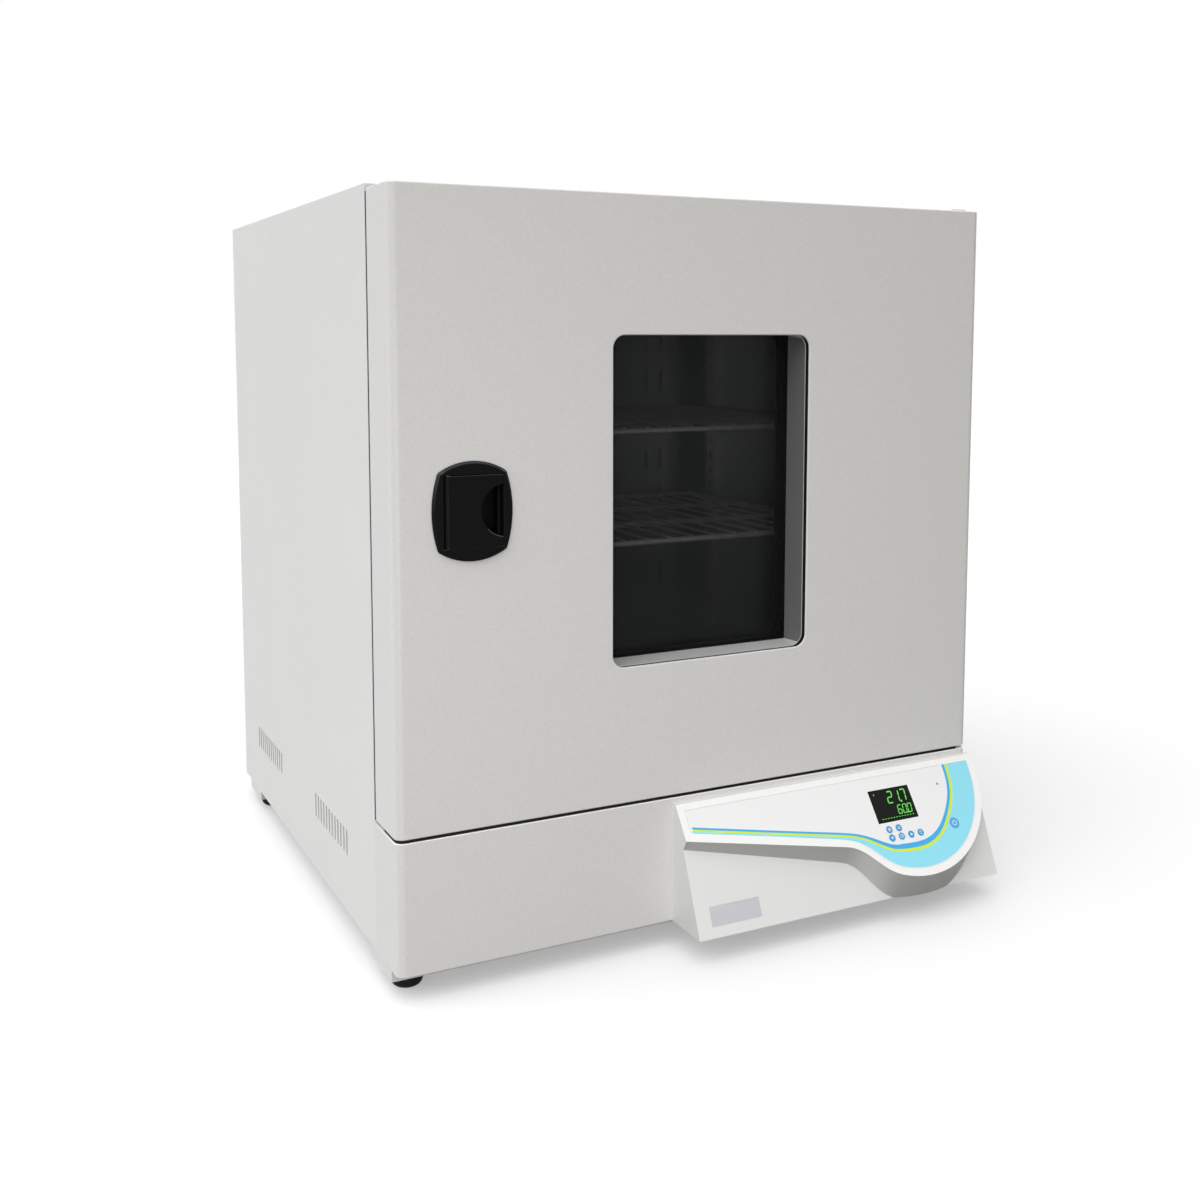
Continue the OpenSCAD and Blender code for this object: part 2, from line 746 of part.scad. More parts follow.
plate_x = 17;
plate_w = 59;
plate_h = 19.5;
plate_up = 10.8;
plate_t = 0.6;
post_places = [[lobe_x - 60, -32], [lobe_x + 62, -32], [lobe_x - 44, -92], [lobe_x + 44, -92]];

module control_console() color(console_white) {
    difference() {
        console_form(0, door_y);
        console_form(wall, door_y + 1);
        on_plate() {
            translate([0, 0, -film]) linear_extrude(height = 3)
                polygon(plate_outline(rim, rim - 1));
            lcd_hole(seat, wall + 2);
            translate([lamp_place[0], lamp_place[1], -wall - 2])
                cylinder(h = wall + 3, r = lamp_r + 0.1);
        }
        for (i = [0:6]) at_key(i) translate([0, 0, -wall - 2])
            cylinder(h = wall + 3, r = stem_r + running);
        on_lower_face() translate([plate_x, plate_up, -plate_t])
            cube([plate_w, plate_h, 3]);
    }
    on_plate() for (p = post_places) translate([p[0], p[1], -board_depth])
        cylinder(h = board_depth - wall + eps, r = post_r);
}

module keypad_film() color(pale_blue) on_plate() difference() {
    translate([0, 0, -film]) linear_extrude(height = film)
        polygon(plate_outline(rim + 0.2, rim - 0.8));
    lcd_hole(0.1, film + 1);
    translate([lamp_place[0], lamp_place[1], -film - 1]) cylinder(h = film + 2, r = lamp_r + 0.1);
    for (i = [0:6]) translate([key_place(i)[0], key_place(i)[1], -film - 1])
        cylinder(h = film + 2, r = (i < 6 ? key_dia : power_dia) / 2 + 0.3);
}

module display_module() color(black_plastic) on_plate()
    translate([lcd_x - lcd_w / 2, -lcd_drop - lcd_h / 2, -board_depth])
        cube([lcd_w, lcd_h, board_depth]);

module standby_lamp() color("red") on_plate()
    translate([lamp_place[0], lamp_place[1], -board_depth]) {
        cylinder(h = board_depth - lamp_r, r = lamp_r);
        translate([0, 0, board_depth - lamp_r]) sphere(lamp_r);
    }

module nameplate() color(zinc) on_lower_face()
    translate([plate_x + 0.2, plate_up + 0.2, -plate_t])
        cube([plate_w - 0.4, plate_h - 0.4, plate_t - 0.2]);

// Keys: a cap in the film's hole and a stem that reaches the switch on the board
stem_len = 6.5;

module key(i) color(i < 6 ? pale_blue : [0.2, 0.5, 0.75]) at_key(i) {
    translate([0, 0, -0.05]) cylinder(h = 0.55, r = (i < 6 ? key_dia : power_dia) / 2);
    translate([0, 0, -stem_len]) cylinder(h = stem_len, r = stem_r);
}

board_left = 66;
board_w = 134;
board_low = 98;
board_h = 74;
switch_w = 6;
switch_h = 3.5;
plunger_r = 1.6;
header_w = 30;
header_h = 12;
header_t = 9;
board_edge = 12;

module control_board() color(board_green) on_plate() {
    intersection() {
        translate([lobe_x - board_left, -board_low, -board_depth - board_t])
            cube([board_w, board_h, board_t]);
        translate([0, 0, -board_depth - 2 * board_t]) linear_extrude(height = 3 * board_t)
            polygon(plate_outline(board_edge, 0));
    }
    for (i = [0:6]) translate([key_place(i)[0], key_place(i)[1], -board_depth]) {
        translate([-switch_w / 2, -switch_w / 2, -eps]) cube([switch_w, switch_w, switch_h]);
        cylinder(h = board_depth - stem_len - key_travel - 0.1, r = plunger_r);
    }
    translate([lobe_x - header_w / 2, header_t - board_low, -board_depth - board_t - header_t])
        cube([header_w, header_h, header_t + eps]);
}

// Power board with its heat sink and relay on the base pan
power_w = 150;
power_d = 110;
power_h = 8;
power_rear = 260;
relay_w = 40;
relay_d = 34;
relay_h = 26;
sink_w = 66;
sink_d = 84;
sink_base = 5;
sink_h = 36;
fin_count = 8;
fin_t = 3;
power_margin = 10;

module power_module() color(board_green)
    translate([-power_w, back_y - power_rear, base_z + 2 * sheet]) {
        cube([power_w, power_d, power_h]);
        translate([0, 0, power_h - eps]) {
            translate([power_margin, power_margin, 0]) cube([relay_w, relay_d, relay_h]);
            translate([power_w - power_margin - sink_w, power_margin, 0]) {
                cube([sink_w, sink_d, sink_base]);
                for (i = [0:fin_count - 1])
                    translate([i * (sink_w - fin_t) / (fin_count - 1), 0, 0])
                        cube([fin_t, sink_d, sink_h]);
            }
        }
    }

// Mains inlet: a flanged socket with three pins
inlet_depth = 24;
module mains_inlet() color(black_plastic) translate([inlet_x, 0, inlet_z]) {
    difference() {
        union() {
            translate([-inlet_w / 2, back_y - inlet_depth, -inlet_h / 2])
                cube([inlet_w, inlet_depth + 1, inlet_h]);
            upright(back_y, 2.5) round_rect(inlet_w + 18, inlet_h + 6, 5);
        }
        translate([-inlet_w / 2 + 1.5, back_y - inlet_depth + 6, -inlet_h / 2 + 1.5])
            cube([inlet_w - 3, inlet_depth, inlet_h - 3]);
    }
    for (p = [[-7, -3], [7, -3], [0, 4]])
        translate([p[0] - 1, back_y - inlet_depth + 6 - eps, p[1] - 2]) cube([2, 12, 4]);
}

// Exhaust: a plain tube from the air duct out through the back
module exhaust_vent() color(stainless) difference() {
    rod_y(exhaust_x, chamber_back_y, exhaust_z, vent_r, back_y + vent_out - chamber_back_y);
    rod_y(exhaust_x, chamber_back_y - 1, exhaust_z, vent_r - pipe_wall,
          back_y + vent_out - chamber_back_y + 2);
}

// Pan-head screws that hold the back panel
screw_r = 4;
module cabinet_screws() color(zinc) {
    for (sx = [-1, 0, 1], z = [base_z + 12, top_z - 10])
        rod_y(sx * (side - 12), back_y, z, screw_r, 2.2);
    for (sx = [-1, 1], f = [1, 2])
        rod_y(sx * (side - 12), back_y, base_z + f * body_h / 3, screw_r, 2.2);
}

// Fan wheel: a back disc with curved blades and a front ring, on a hub
fan_front = duct_y + 9;
blade_t = 1.2;
blade_depth = 20;
blade_bend = 14;
hub_r = 11;

module blade_profile()
    polygon(concat(arc_points(0, 0, blade_bend, blade_bend, 0, 75, 6),
                   arc_points(0, 0, blade_bend - blade_t, blade_bend - blade_t, 75, 0, 6)));

module fan_wheel() color(stainless) translate([0, fan_front, fan_z]) rotate([-90, 0, 0]) {
    difference() {
        union() {
            translate([0, 0, fan_w - blade_t]) cylinder(h = blade_t, r = fan_r);
            translate([0, 0, fan_w - 22]) cylinder(h = 22, r = hub_r);
        }
        translate([0, 0, -1]) cylinder(h = fan_w + 2, r = shaft_r + eps);
    }
    difference() {
        cylinder(h = blade_t, r = fan_r);
        translate([0, 0, -1]) cylinder(h = blade_t + 2, r = fan_r - blade_depth);
    }
    for (i = [0:blade_count - 1]) rotate([0, 0, 360 * i / blade_count])
        translate([fan_r - 16, -6, 0.5]) linear_extrude(height = fan_w - 1) blade_profile();
}

module fan_shaft() color(zinc)
    rod_y(0, fan_front + 4, fan_z, shaft_r, casing_y + liner + motor_len - 12 - fan_front);

// Door: a folded outer tray, closed by a stainless inner panel
hinge_block = 24;
block_h = pin_len + 4;

module window_shape(grow) round_rect(window_w + 2 * grow, window_h + 2 * grow, window_r + grow);

module at_window() translate([0, 0, window_z + window_h / 2]) children();

// Local frame of the latch: x right, y back from the door's face, z up
module at_latch() translate([bezel_x, door_y, latch_level]) children();

latch_body_w = 64;
latch_body_h = 74;

module hinge_bores() for (z = [door_z - 1, door_top - pin_len - 1])
    translate([pin_x, pin_y, z]) cylinder(h = pin_len + 2, r = pin_r + running);

module door_outer_panel() color(door_grey) difference() {
    union() {
        difference() {
            front_prism(0, corner_r, door_z, door_top, door_back);
            front_prism(sheet, corner_r - sheet, door_z + sheet, door_top - sheet, door_back + 1);
        }
        for (z = [door_z + sheet - eps, door_top - sheet - block_h + eps])
            block([side - hinge_block, pin_y - 11, z], [inner_side + eps, pin_y + 11, z + block_h]);
    }
    at_window() upright(door_y - 1, sheet + 2) window_shape(0);
    at_latch() translate([-latch_body_w / 2 - seat, -1, -latch_body_h / 2 - seat])
        cube([latch_body_w + 2 * seat, sheet + 2, latch_body_h + 2 * seat]);
    hinge_bores();
}

module door_inner_panel() color(stainless) difference() {
    block([-inner_side + seat, door_back - liner, door_z + sheet + seat],
          [inner_side - seat, door_back, door_top - sheet - seat]);
    at_window() upright(door_back - liner - 1, liner + 2) window_shape(0);
    block([keeper_x - 4, door_back - liner - 1, latch_level - 12],
          [nose_x + 12, door_back + 1, latch_level + 12]);
}

frame_grow = 12;
module door_insulation() color(wool_yellow) difference() {
    front_prism(sheet + seat, corner_r - sheet, door_z + sheet + seat, door_top - sheet - seat,
                door_back - liner - seat);
    at_window() upright(door_y, door_t) window_shape(frame_grow + seat);
    at_latch() translate([-bezel_side, 0, -42]) cube([bezel_side + latch_body_w / 2 + 3, door_t, 84]);
    for (z = [door_z, door_top - block_h - 4])
        block([side - hinge_block - 1, door_y, z], [side, door_back, z + block_h + 4]);
}

rim_depth = 8;
module window_frame() color([0.66, 0.67, 0.66]) at_window() difference() {
    upright(door_y + rim_depth, door_t - rim_depth - liner) window_shape(frame_grow);
    upright(door_y, door_t) window_shape(0);
    upright(door_y + reveal, door_t) window_shape(glass_bite + 0.2);
}

module pane(y) at_window() upright(y, glass) window_shape(glass_bite);

module outer_glass() color([0.2, 0.22, 0.22, 0.4]) pane(door_y + reveal);

module inner_glass() color([0.2, 0.22, 0.22, 0.4]) pane(door_back - liner - glass);

// Black rubber: the lip round the opening, and the spacer between the two panes
module window_gasket() color(rubber_black) at_window() {
    upright(door_y + sheet, rim_depth - sheet) difference() {
        window_shape(frame_grow);
        window_shape(0.8);
    }
    upright(door_y + reveal + glass, door_t - reveal - 2 * glass - liner) difference() {
        window_shape(glass_bite);
        window_shape(0.4);
    }
}

// Latch housing: a barrel-shaped bezel with a recess, a finger pocket and tongue guides
bezel_t = 4;
bezel_side_r = 115;
bezel_top_r = 61;
bezel_corner = 5.5;
paddle_left = -paddle_w / 2 + 0.6;
barrel_x = paddle_left + barrel_r;
barrel_y = -0.5;
recess_gap = 0.4;
recess_y = 6;
pocket_y = 22;
tail_reach = latch_depth + seat + tongue_t / 2;
tongue_y = latch_depth + seat;
tongue_h = 26;
tail_w = 4;
tail_h = 14;
tip_r = 2.2;

// A quarter of the bezel's outline: a shallow side arc, a tight corner and a shallow top arc
function bezel_quarter(grow) =
    let (a = bezel_side_r - bezel_w / 2, b = bezel_top_r - bezel_h / 2, d = norm([a, b]),
         r1 = bezel_side_r - bezel_corner, r2 = bezel_top_r - bezel_corner,
         s = (r1 * r1 - r2 * r2 + d * d) / (2 * d), t = sqrt(r1 * r1 - s * s),
         c = [(a * s + b * t) / d - a, (a * t - b * s) / d],
         low = atan2(c[1], c[0] + a), high = atan2(c[1] + b, c[0]),
         corner = arc_points(c[0], c[1], bezel_corner + grow, bezel_corner + grow, low, high, 6),
         top = arc_points(0, -b, bezel_top_r + grow, bezel_top_r + grow, high, 90, 8))
    concat(arc_points(-a, 0, bezel_side_r + grow, bezel_side_r + grow, 0, low, 6),
           [for (i = [1:6]) corner[i]], [for (i = [1:8]) top[i]]);

module bezel_shape(grow) {
    q = bezel_quarter(grow);
    n = len(q) - 1;
    polygon(concat(q, [for (i = [n - 1:-1:0]) [-q[i][0], q[i][1]]],
                   [for (i = [1:n]) [-q[i][0], -q[i][1]]],
                   [for (i = [n - 1:-1:1]) [q[i][0], -q[i][1]]]));
}

module latch_housing() color(black_plastic) at_latch() {
    difference() {
        union() {
            upright(-bezel_t + 1.5, bezel_t - 1.5) bezel_shape(0);
            upright(-bezel_t, 2) bezel_shape(-1.5);
            translate([-latch_body_w / 2, -1, -latch_body_h / 2])
                cube([latch_body_w, latch_depth + 1, latch_body_h]);
        }
        translate([paddle_left - recess_gap, -bezel_t - 1, -paddle_h / 2 - recess_gap])
            cube([paddle_w + 2 * recess_gap, bezel_t + 1 + recess_y, paddle_h + 2 * recess_gap]);
        translate([5, 0, -scoop_r - 1]) cube([paddle_left + paddle_w - 5, pocket_y, 2 * scoop_r + 2]);
        translate([barrel_x - tail_w / 2 - 1.5, 0, -tail_h / 2 - 1])
            cube([tail_w + 14, latch_depth + 1, tail_h + 2]);
        translate([barrel_x, barrel_y, -latch_body_h / 2 + 1])
            cylinder(h = latch_body_h - 2, r = latch_pin_r + eps);
    }
    for (sz = [0, 1]) mirror([0, 0, sz]) {
        translate([-latch_body_w / 2 + 4, latch_depth - 1, tongue_h / 2 + seat])
            cube([36, tongue_t + 4, 3]);
        translate([-latch_body_w / 2 + 4, tongue_y + tongue_t + seat, tongue_h / 2 - 3])
            cube([36, 3 - 2 * seat, 5]);
    }
}

module latch_pin() color(zinc) at_latch()
    translate([barrel_x, barrel_y, -latch_body_h / 2 + 1])
        cylinder(h = latch_body_h - 2, r = latch_pin_r);

spring_low = -27;
spring_h = 12;
spring_wire = 0.45;
spring_r = 2.9;

module latch_paddle() color(black_plastic) at_latch() difference() {
    union() {
        translate([barrel_x, barrel_y, -paddle_h / 2]) cylinder(h = paddle_h, r = barrel_r);
        translate([barrel_x, barrel_y - barrel_r, -paddle_h / 2])
            cube([paddle_w - barrel_r, barrel_r - 0.5, paddle_h]);
        translate([barrel_x - tail_w / 2, barrel_y, -tail_h / 2])
            cube([tail_w, tail_reach - 2 - barrel_y, tail_h]);
        translate([barrel_x, tail_reach, -tail_h / 2]) cylinder(h = tail_h, r = tip_r);
        translate([barrel_x - 1.2, tail_reach - 3, -tail_h / 2]) cube([2.4, 3, tail_h]);
    }
    translate([paddle_left + paddle_w + 3, 0, 0]) upright(-20, 25) circle(scoop_r);
    translate([barrel_x, barrel_y, -paddle_h]) cylinder(h = 2 * paddle_h, r = latch_pin_r + running);
    translate([barrel_x, barrel_y, spring_low - 1]) cylinder(h = spring_h + 2, r = spring_r + 0.8);
}

// Torsion spring round the pin: a close coil and one leg against the housing
module latch_spring() color(zinc) at_latch() translate([barrel_x, barrel_y, spring_low])
    rotate_extrude() for (i = [0:13])
        translate([spring_r, spring_wire + 0.8 * i]) circle(spring_wire, $fn = 24);

// Tongue: a slide behind the housing with a bent nose that meets the keeper
nose_local = nose_x - bezel_x;
nose_t = 6;

module latch_tongue() color(zinc) at_latch() difference() {
    union() {
        translate([nose_local, tongue_y, -tongue_h / 2])
            cube([barrel_x + 12 - nose_local, tongue_t, tongue_h]);
        translate([nose_local, tongue_y, -8]) cube([nose_t, 54 - tongue_y, 16]);
    }
    translate([barrel_x - tip_r - 0.4, tongue_y - 1, -tail_h / 2 - 0.5])
        cube([2 * tip_r + 0.8, tongue_t + 2, tail_h + 1]);
}

module mode_key() key(0);
module set_key() key(1);
module down_key() key(2);
module timer_key() key(3);
module up_key() key(4);
module lamp_key() key(5);
module power_key() key(6);

left_side_panel();
right_side_panel();
top_panel();
back_panel();
base_pan();
front_frame();
insulation_casing();
plinth_cover();
front_foot_rail();
rear_foot_rail();
rubber_feet();
chamber_left_wall();
chamber_right_wall();
chamber_ceiling();
chamber_floor();
chamber_back();
chamber_insulation();
shelf_uprights();
shelf_clips();
upper_shelf();
lower_shelf();
air_baffle();
heating_element();
temperature_probe();
fan_motor();
door_gasket();
top_hinge_bracket();
bottom_hinge_bracket();
latch_keeper();
control_console();
keypad_film();
display_module();
standby_lamp();
nameplate();
control_board();
power_module();
mains_inlet();
exhaust_vent();
cabinet_screws();
fan_wheel();
fan_shaft();
door_outer_panel();
door_inner_panel();
door_insulation();
window_frame();
outer_glass();
inner_glass();
window_gasket();
latch_housing();
latch_pin();
latch_paddle();
latch_tongue();
latch_spring();
mode_key();
set_key();
down_key();
timer_key();
up_key();
lamp_key();
power_key();
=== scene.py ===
import math

import bpy
from mathutils import Matrix, Vector


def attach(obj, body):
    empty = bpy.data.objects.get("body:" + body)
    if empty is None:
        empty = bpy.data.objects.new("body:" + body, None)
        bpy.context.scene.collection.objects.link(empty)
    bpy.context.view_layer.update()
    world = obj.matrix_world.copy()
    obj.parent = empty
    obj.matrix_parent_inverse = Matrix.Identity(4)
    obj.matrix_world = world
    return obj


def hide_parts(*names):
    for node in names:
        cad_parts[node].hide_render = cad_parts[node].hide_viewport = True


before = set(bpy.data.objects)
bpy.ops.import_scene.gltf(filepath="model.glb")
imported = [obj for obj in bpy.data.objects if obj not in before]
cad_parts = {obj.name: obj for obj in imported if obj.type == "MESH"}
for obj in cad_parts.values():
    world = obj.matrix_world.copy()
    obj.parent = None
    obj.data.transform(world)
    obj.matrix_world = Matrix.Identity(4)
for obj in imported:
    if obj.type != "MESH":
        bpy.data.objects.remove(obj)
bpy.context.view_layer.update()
bpy.ops.object.select_all(action="DESELECT")

# Cabinet shell: folded sheet steel panels, a lid, a back sheet and the frame round the mouth of
# the chamber, screwed together, with the door's two hinge brackets. They are powder coated in a
# pale grey white with a fine pebble.
CABINET_WHITE = (0.80, 0.80, 0.79)


def plain_finish(name, colour, roughness, metallic=0.0):
    """A material whose constant values sit on the shader's own sockets."""
    mat = bpy.data.materials.new(name)
    mat.use_nodes = True
    shader = shader_of(mat)
    shader.inputs["Base Color"].default_value = (*colour, 1.0)
    shader.inputs["Roughness"].default_value = roughness
    shader.inputs["Metallic"].default_value = metallic
    return mat


def shader_of(mat):
    """The shader that every finish works on."""
    return mat.node_tree.nodes["Principled BSDF"]


def surface_noise(mat, scale, detail=2.0, stretch=(1.0, 1.0, 1.0)):
    """Noise in object space, counted per metre, and drawn out along an axis where stretch is small."""
    nodes, links = mat.node_tree.nodes, mat.node_tree.links
    place = nodes.new("ShaderNodeTexCoord")
    mapping = nodes.new("ShaderNodeMapping")
    mapping.inputs["Scale"].default_value = stretch
    noise = nodes.new("ShaderNodeTexNoise")
    noise.inputs["Scale"].default_value = scale
    noise.inputs["Detail"].default_value = detail
    links.new(place.outputs["Object"], mapping.inputs["Vector"])
    links.new(mapping.outputs["Vector"], noise.inputs["Vector"])
    return noise.outputs["Fac"]


def add_relief(mat, strength, depth, scale, **noise):
    """A fine relief in the surface; depth is in metres."""
    bump = mat.node_tree.nodes.new("ShaderNodeBump")
    bump.inputs["Strength"].default_value = strength
    bump.inputs["Distance"].default_value = depth
    mat.node_tree.links.new(surface_noise(mat, scale, **noise), bump.inputs["Height"])
    mat.node_tree.links.new(bump.outputs["Normal"], shader_of(mat).inputs["Normal"])


def add_tones(mat, socket, run, first, last, start=0.35, end=0.65):
    """Lets a run from 0 to 1 move a colour or a roughness from first to last, and returns the ramp."""
    ramp = mat.node_tree.nodes.new("ShaderNodeValToRGB")
    for element, place, tone in zip(ramp.color_ramp.elements, (start, end), (first, last)):
        element.position = place
        element.color = (*tone, 1.0) if isinstance(tone, tuple) else (tone, tone, tone, 1.0)
    mat.node_tree.links.new(run, ramp.inputs["Fac"])
    mat.node_tree.links.new(ramp.outputs["Color"], shader_of(mat).inputs[socket])
    return ramp


def uneven_colour(mat, dark, light, scale, **noise):
    """Lets the colour drift between two tones over the surface."""
    add_tones(mat, "Base Color", surface_noise(mat, scale, **noise), dark, light)


def uneven_gloss(mat, smooth, rough, scale, **noise):
    """Lets the roughness drift between two values over the surface."""
    add_tones(mat, "Roughness", surface_noise(mat, scale, **noise), smooth, rough)


def powder_coat(name, colour):
    """Powder coat: a pebble of about 1.3 mm and a satin gloss."""
    mat = plain_finish(name, colour, roughness=0.45)
    add_relief(mat, strength=0.55, depth=0.00016, scale=760.0, detail=1.0)
    uneven_gloss(mat, 0.42, 0.5, scale=90.0)
    return mat


def soft_waves(mat, colour):
    """Lets a paint's colour drift a little over a panel."""
    uneven_colour(mat, tuple(0.985 * c for c in colour), colour, scale=6.0)


def dress(mat, *names):
    """Gives CAD nodes a finish."""
    for name in names:
        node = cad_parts[name]
        node.data.materials.clear()
        node.data.materials.append(mat)


cabinet_paint = powder_coat("cabinet_paint", CABINET_WHITE)
soft_waves(cabinet_paint, CABINET_WHITE)
dress(cabinet_paint, "left_side_panel", "right_side_panel", "top_panel", "back_panel", "front_frame",
      "top_hinge_bracket", "bottom_hinge_bracket")

# Small hardware: the latch's keeper, pin, spring and tongue, the back sheet's screws and the can
# of the fan motor. Stamped, turned or drawn steel, zinc plated, dull and slightly mottled.
zinc = plain_finish("zinc_sheet", (0.55, 0.56, 0.58), roughness=0.42, metallic=0.9)
uneven_colour(zinc, (0.46, 0.47, 0.49), (0.6, 0.61, 0.63), scale=70.0, detail=3.0)
uneven_gloss(zinc, 0.34, 0.52, scale=160.0)
dress(zinc, "latch_keeper", "fan_motor", "cabinet_screws", "latch_pin", "latch_spring", "latch_tongue")

# Base pan and the casing round the wool: plain folded sheet in a dark grey that is painted shade for
# the space behind the vent slots. They close the cabinet inside and show only through the vent slots.
vent_shade_sheet = plain_finish("vent_painted_shade_sheet", (0.12, 0.12, 0.125), roughness=0.6, metallic=0.3)
uneven_colour(vent_shade_sheet, (0.09, 0.09, 0.095), (0.15, 0.15, 0.155), scale=60.0, detail=3.0)
dress(vent_shade_sheet, "base_pan", "insulation_casing")

# Chamber with its baffle, fan, heater, probe, vent tube and uprights, and the door's inner panel:
# stainless sheet, tube and rod with a fine brushed grain, welded or screwed together.
steel = plain_finish("stainless", (0.43, 0.43, 0.435), roughness=0.3, metallic=1.0)
uneven_gloss(steel, 0.28, 0.36, scale=2200.0, detail=1.0, stretch=(0.02, 1.0, 1.0))
uneven_colour(steel, (0.4, 0.4, 0.405), (0.46, 0.46, 0.465), scale=420.0, detail=3.0, stretch=(0.015, 1.0, 1.0))
dress(steel, "chamber_left_wall", "chamber_right_wall", "chamber_ceiling", "chamber_floor", "chamber_back",
      "air_baffle", "heating_element", "temperature_probe", "fan_wheel", "fan_shaft", "exhaust_vent",
      "door_inner_panel", "shelf_uprights")

# Shelves and their clips: bright plated steel wire and strip. The wires are welded into a grid,
# which lies on clips hooked into the uprights.
bright_wire = plain_finish("bright_wire", (0.93, 0.93, 0.91), roughness=0.3, metallic=0.3)
uneven_gloss(bright_wire, 0.24, 0.36, scale=700.0)
dress(bright_wire, "shelf_clips", "upper_shelf", "lower_shelf")

# Mineral wool slabs round the chamber and in the door: pressed yellowish fibre, cut to size and
# laid in loose between the walls.
wool = plain_finish("wool", (0.62, 0.56, 0.38), roughness=0.95)
add_relief(wool, strength=0.8, depth=0.0006, scale=900.0, detail=4.0, stretch=(1.0, 1.0, 0.15))
uneven_colour(wool, (0.5, 0.44, 0.28), (0.7, 0.64, 0.46), scale=40.0, detail=4.0)
dress(wool, "chamber_insulation", "door_insulation")

# Door: a tray of folded sheet with round upright edges and softly broken rims, powder coated in a
# slightly warmer and darker grey than the cabinet. Its colour carries painted light and shade by
# facing: the side faces are painted lighter, and the bends between front and side are painted darker.
MM = 0.001
DOOR_GREY = (0.725, 0.712, 0.69)
DOOR_FLAT, DOOR_SIDE_PAINTED_LIGHT = (0.73, 0.718, 0.695), (0.755, 0.75, 0.74)
DOOR_BENDS_PAINTED_SHADE, DOOR_TINT = ((0.3, 0.69), (0.65, 0.645), (0.9, 0.70)), (1.01, 1.0, 0.98)
DOOR_Y, DOOR_LOW, DOOR_TOP, DOOR_ROUND = -0.315886, 0.159, 0.763, 1.6
PIN_X, PIN_Y, PIN_REACH = 0.328, -0.284586, 0.009
OPENING_HALF, OPENING_LOW, OPENING_TOP = 0.13, 0.28, 0.65
SHARP_EDGE, SMOOTH_BELOW, FLAT_WITHIN = math.radians(30.0), math.radians(32.0), math.radians(0.5)
SAME_PLACE, SAME_LEVEL = 0.00001, 0.0001


def axis_of(mat, source, axis):
    """One axis of a point's place (Object) or of the way the surface faces (Normal), in object space."""
    place = mat.node_tree.nodes.new("ShaderNodeTexCoord")
    parts = mat.node_tree.nodes.new("ShaderNodeSeparateXYZ")
    mat.node_tree.links.new(place.outputs[source], parts.inputs["Vector"])
    return parts.outputs[axis]


def add_stops(ramp, stops, tint):
    """Adds greys between a ramp's ends, each at its place and with a slight tint."""
    for place, tone in stops:
        ramp.color_ramp.elements.new(place).color = (*(tone * part for part in tint), 1.0)


def rescaled(mat, value, start, end, low=0.0, high=1.0):
    """A value that runs from start to end, brought to a run from low to high."""
    scale = mat.node_tree.nodes.new("ShaderNodeMapRange")
    for socket, number in (("From Min", start), ("From Max", end), ("To Min", low), ("To Max", high)):
        scale.inputs[socket].default_value = number
    mat.node_tree.links.new(value, scale.inputs["Value"])
    return scale.outputs["Result"]


def take(piece):
    """Selects one piece alone, for the operators."""
    bpy.ops.object.select_all(action="DESELECT")
    piece.select_set(True)
    bpy.context.view_layer.objects.active = piece


def copied(node_name, name, body):
    """A merged copy of a CAD node, to be shaped further; flat faces lose their inner triangle edges."""
    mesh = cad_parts[node_name].data.copy()
    mesh.materials.clear()
    piece = bpy.data.objects.new(name, mesh)
    bpy.context.collection.objects.link(piece)
    take(piece)
    bpy.ops.object.mode_set(mode="EDIT")
    bpy.ops.mesh.select_mode(type="EDGE")
    bpy.ops.mesh.select_all(action="SELECT")
    bpy.ops.mesh.remove_doubles(threshold=SAME_PLACE)
    bpy.ops.mesh.dissolve_limited(angle_limit=FLAT_WITHIN)
    bpy.ops.mesh.select_all(action="DESELECT")
    bpy.ops.object.mode_set(mode="OBJECT")
    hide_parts(node_name)
    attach(piece, body)
    return piece


def level(value, height):
    """Whether a point lies at a height or on a plane."""
    return abs(value - height) < SAME_LEVEL


def round_edges(piece, width, segments, wanted, clamp=True):
    """Rounds the sharp edges whose middle is wanted, by a width in mm."""
    mesh = piece.data
    sides = {}
    for face in mesh.polygons:
        for key in face.edge_keys:
            sides.setdefault(key, []).append(face.normal)
    for edge in mesh.edges:
        near = sides.get(edge.key, [])
        middle = (mesh.vertices[edge.vertices[0]].co + mesh.vertices[edge.vertices[1]].co) / 2
        edge.select = len(near) == 2 and near[0].angle(near[1], 0.0) > SHARP_EDGE and wanted(middle)
    take(piece)
    bpy.ops.object.mode_set(mode="EDIT")
    bpy.ops.mesh.select_mode(type="EDGE")
    bpy.ops.mesh.bevel(offset=width * MM, segments=segments, profile=0.5, affect="EDGES", clamp_overlap=clamp)
    bpy.ops.mesh.select_all(action="DESELECT")
    bpy.ops.object.mode_set(mode="OBJECT")


def finish_copy(piece, mat):
    """Smooth shading that keeps flat faces flat, and the finish."""
    take(piece)
    bpy.ops.object.shade_smooth_by_angle(angle=SMOOTH_BELOW)
    even = piece.modifiers.new("even", "WEIGHTED_NORMAL")
    even.keep_sharp = True
    bpy.ops.object.modifier_apply(modifier=even.name)
    piece.data.materials.append(mat)
    piece.select_set(False)


def door_edge(p):
    """The tray's rims, apart from the hinge pin's bores, and the front edge of the window opening."""
    at_rim = level(p.z, DOOR_TOP) or level(p.z, DOOR_LOW)
    at_pin = abs(p.x - PIN_X) < PIN_REACH and abs(p.y - PIN_Y) < PIN_REACH
    at_window = level(p.y, DOOR_Y) and abs(p.x) < OPENING_HALF and OPENING_LOW < p.z < OPENING_TOP
    return at_window or (at_rim and not at_pin)


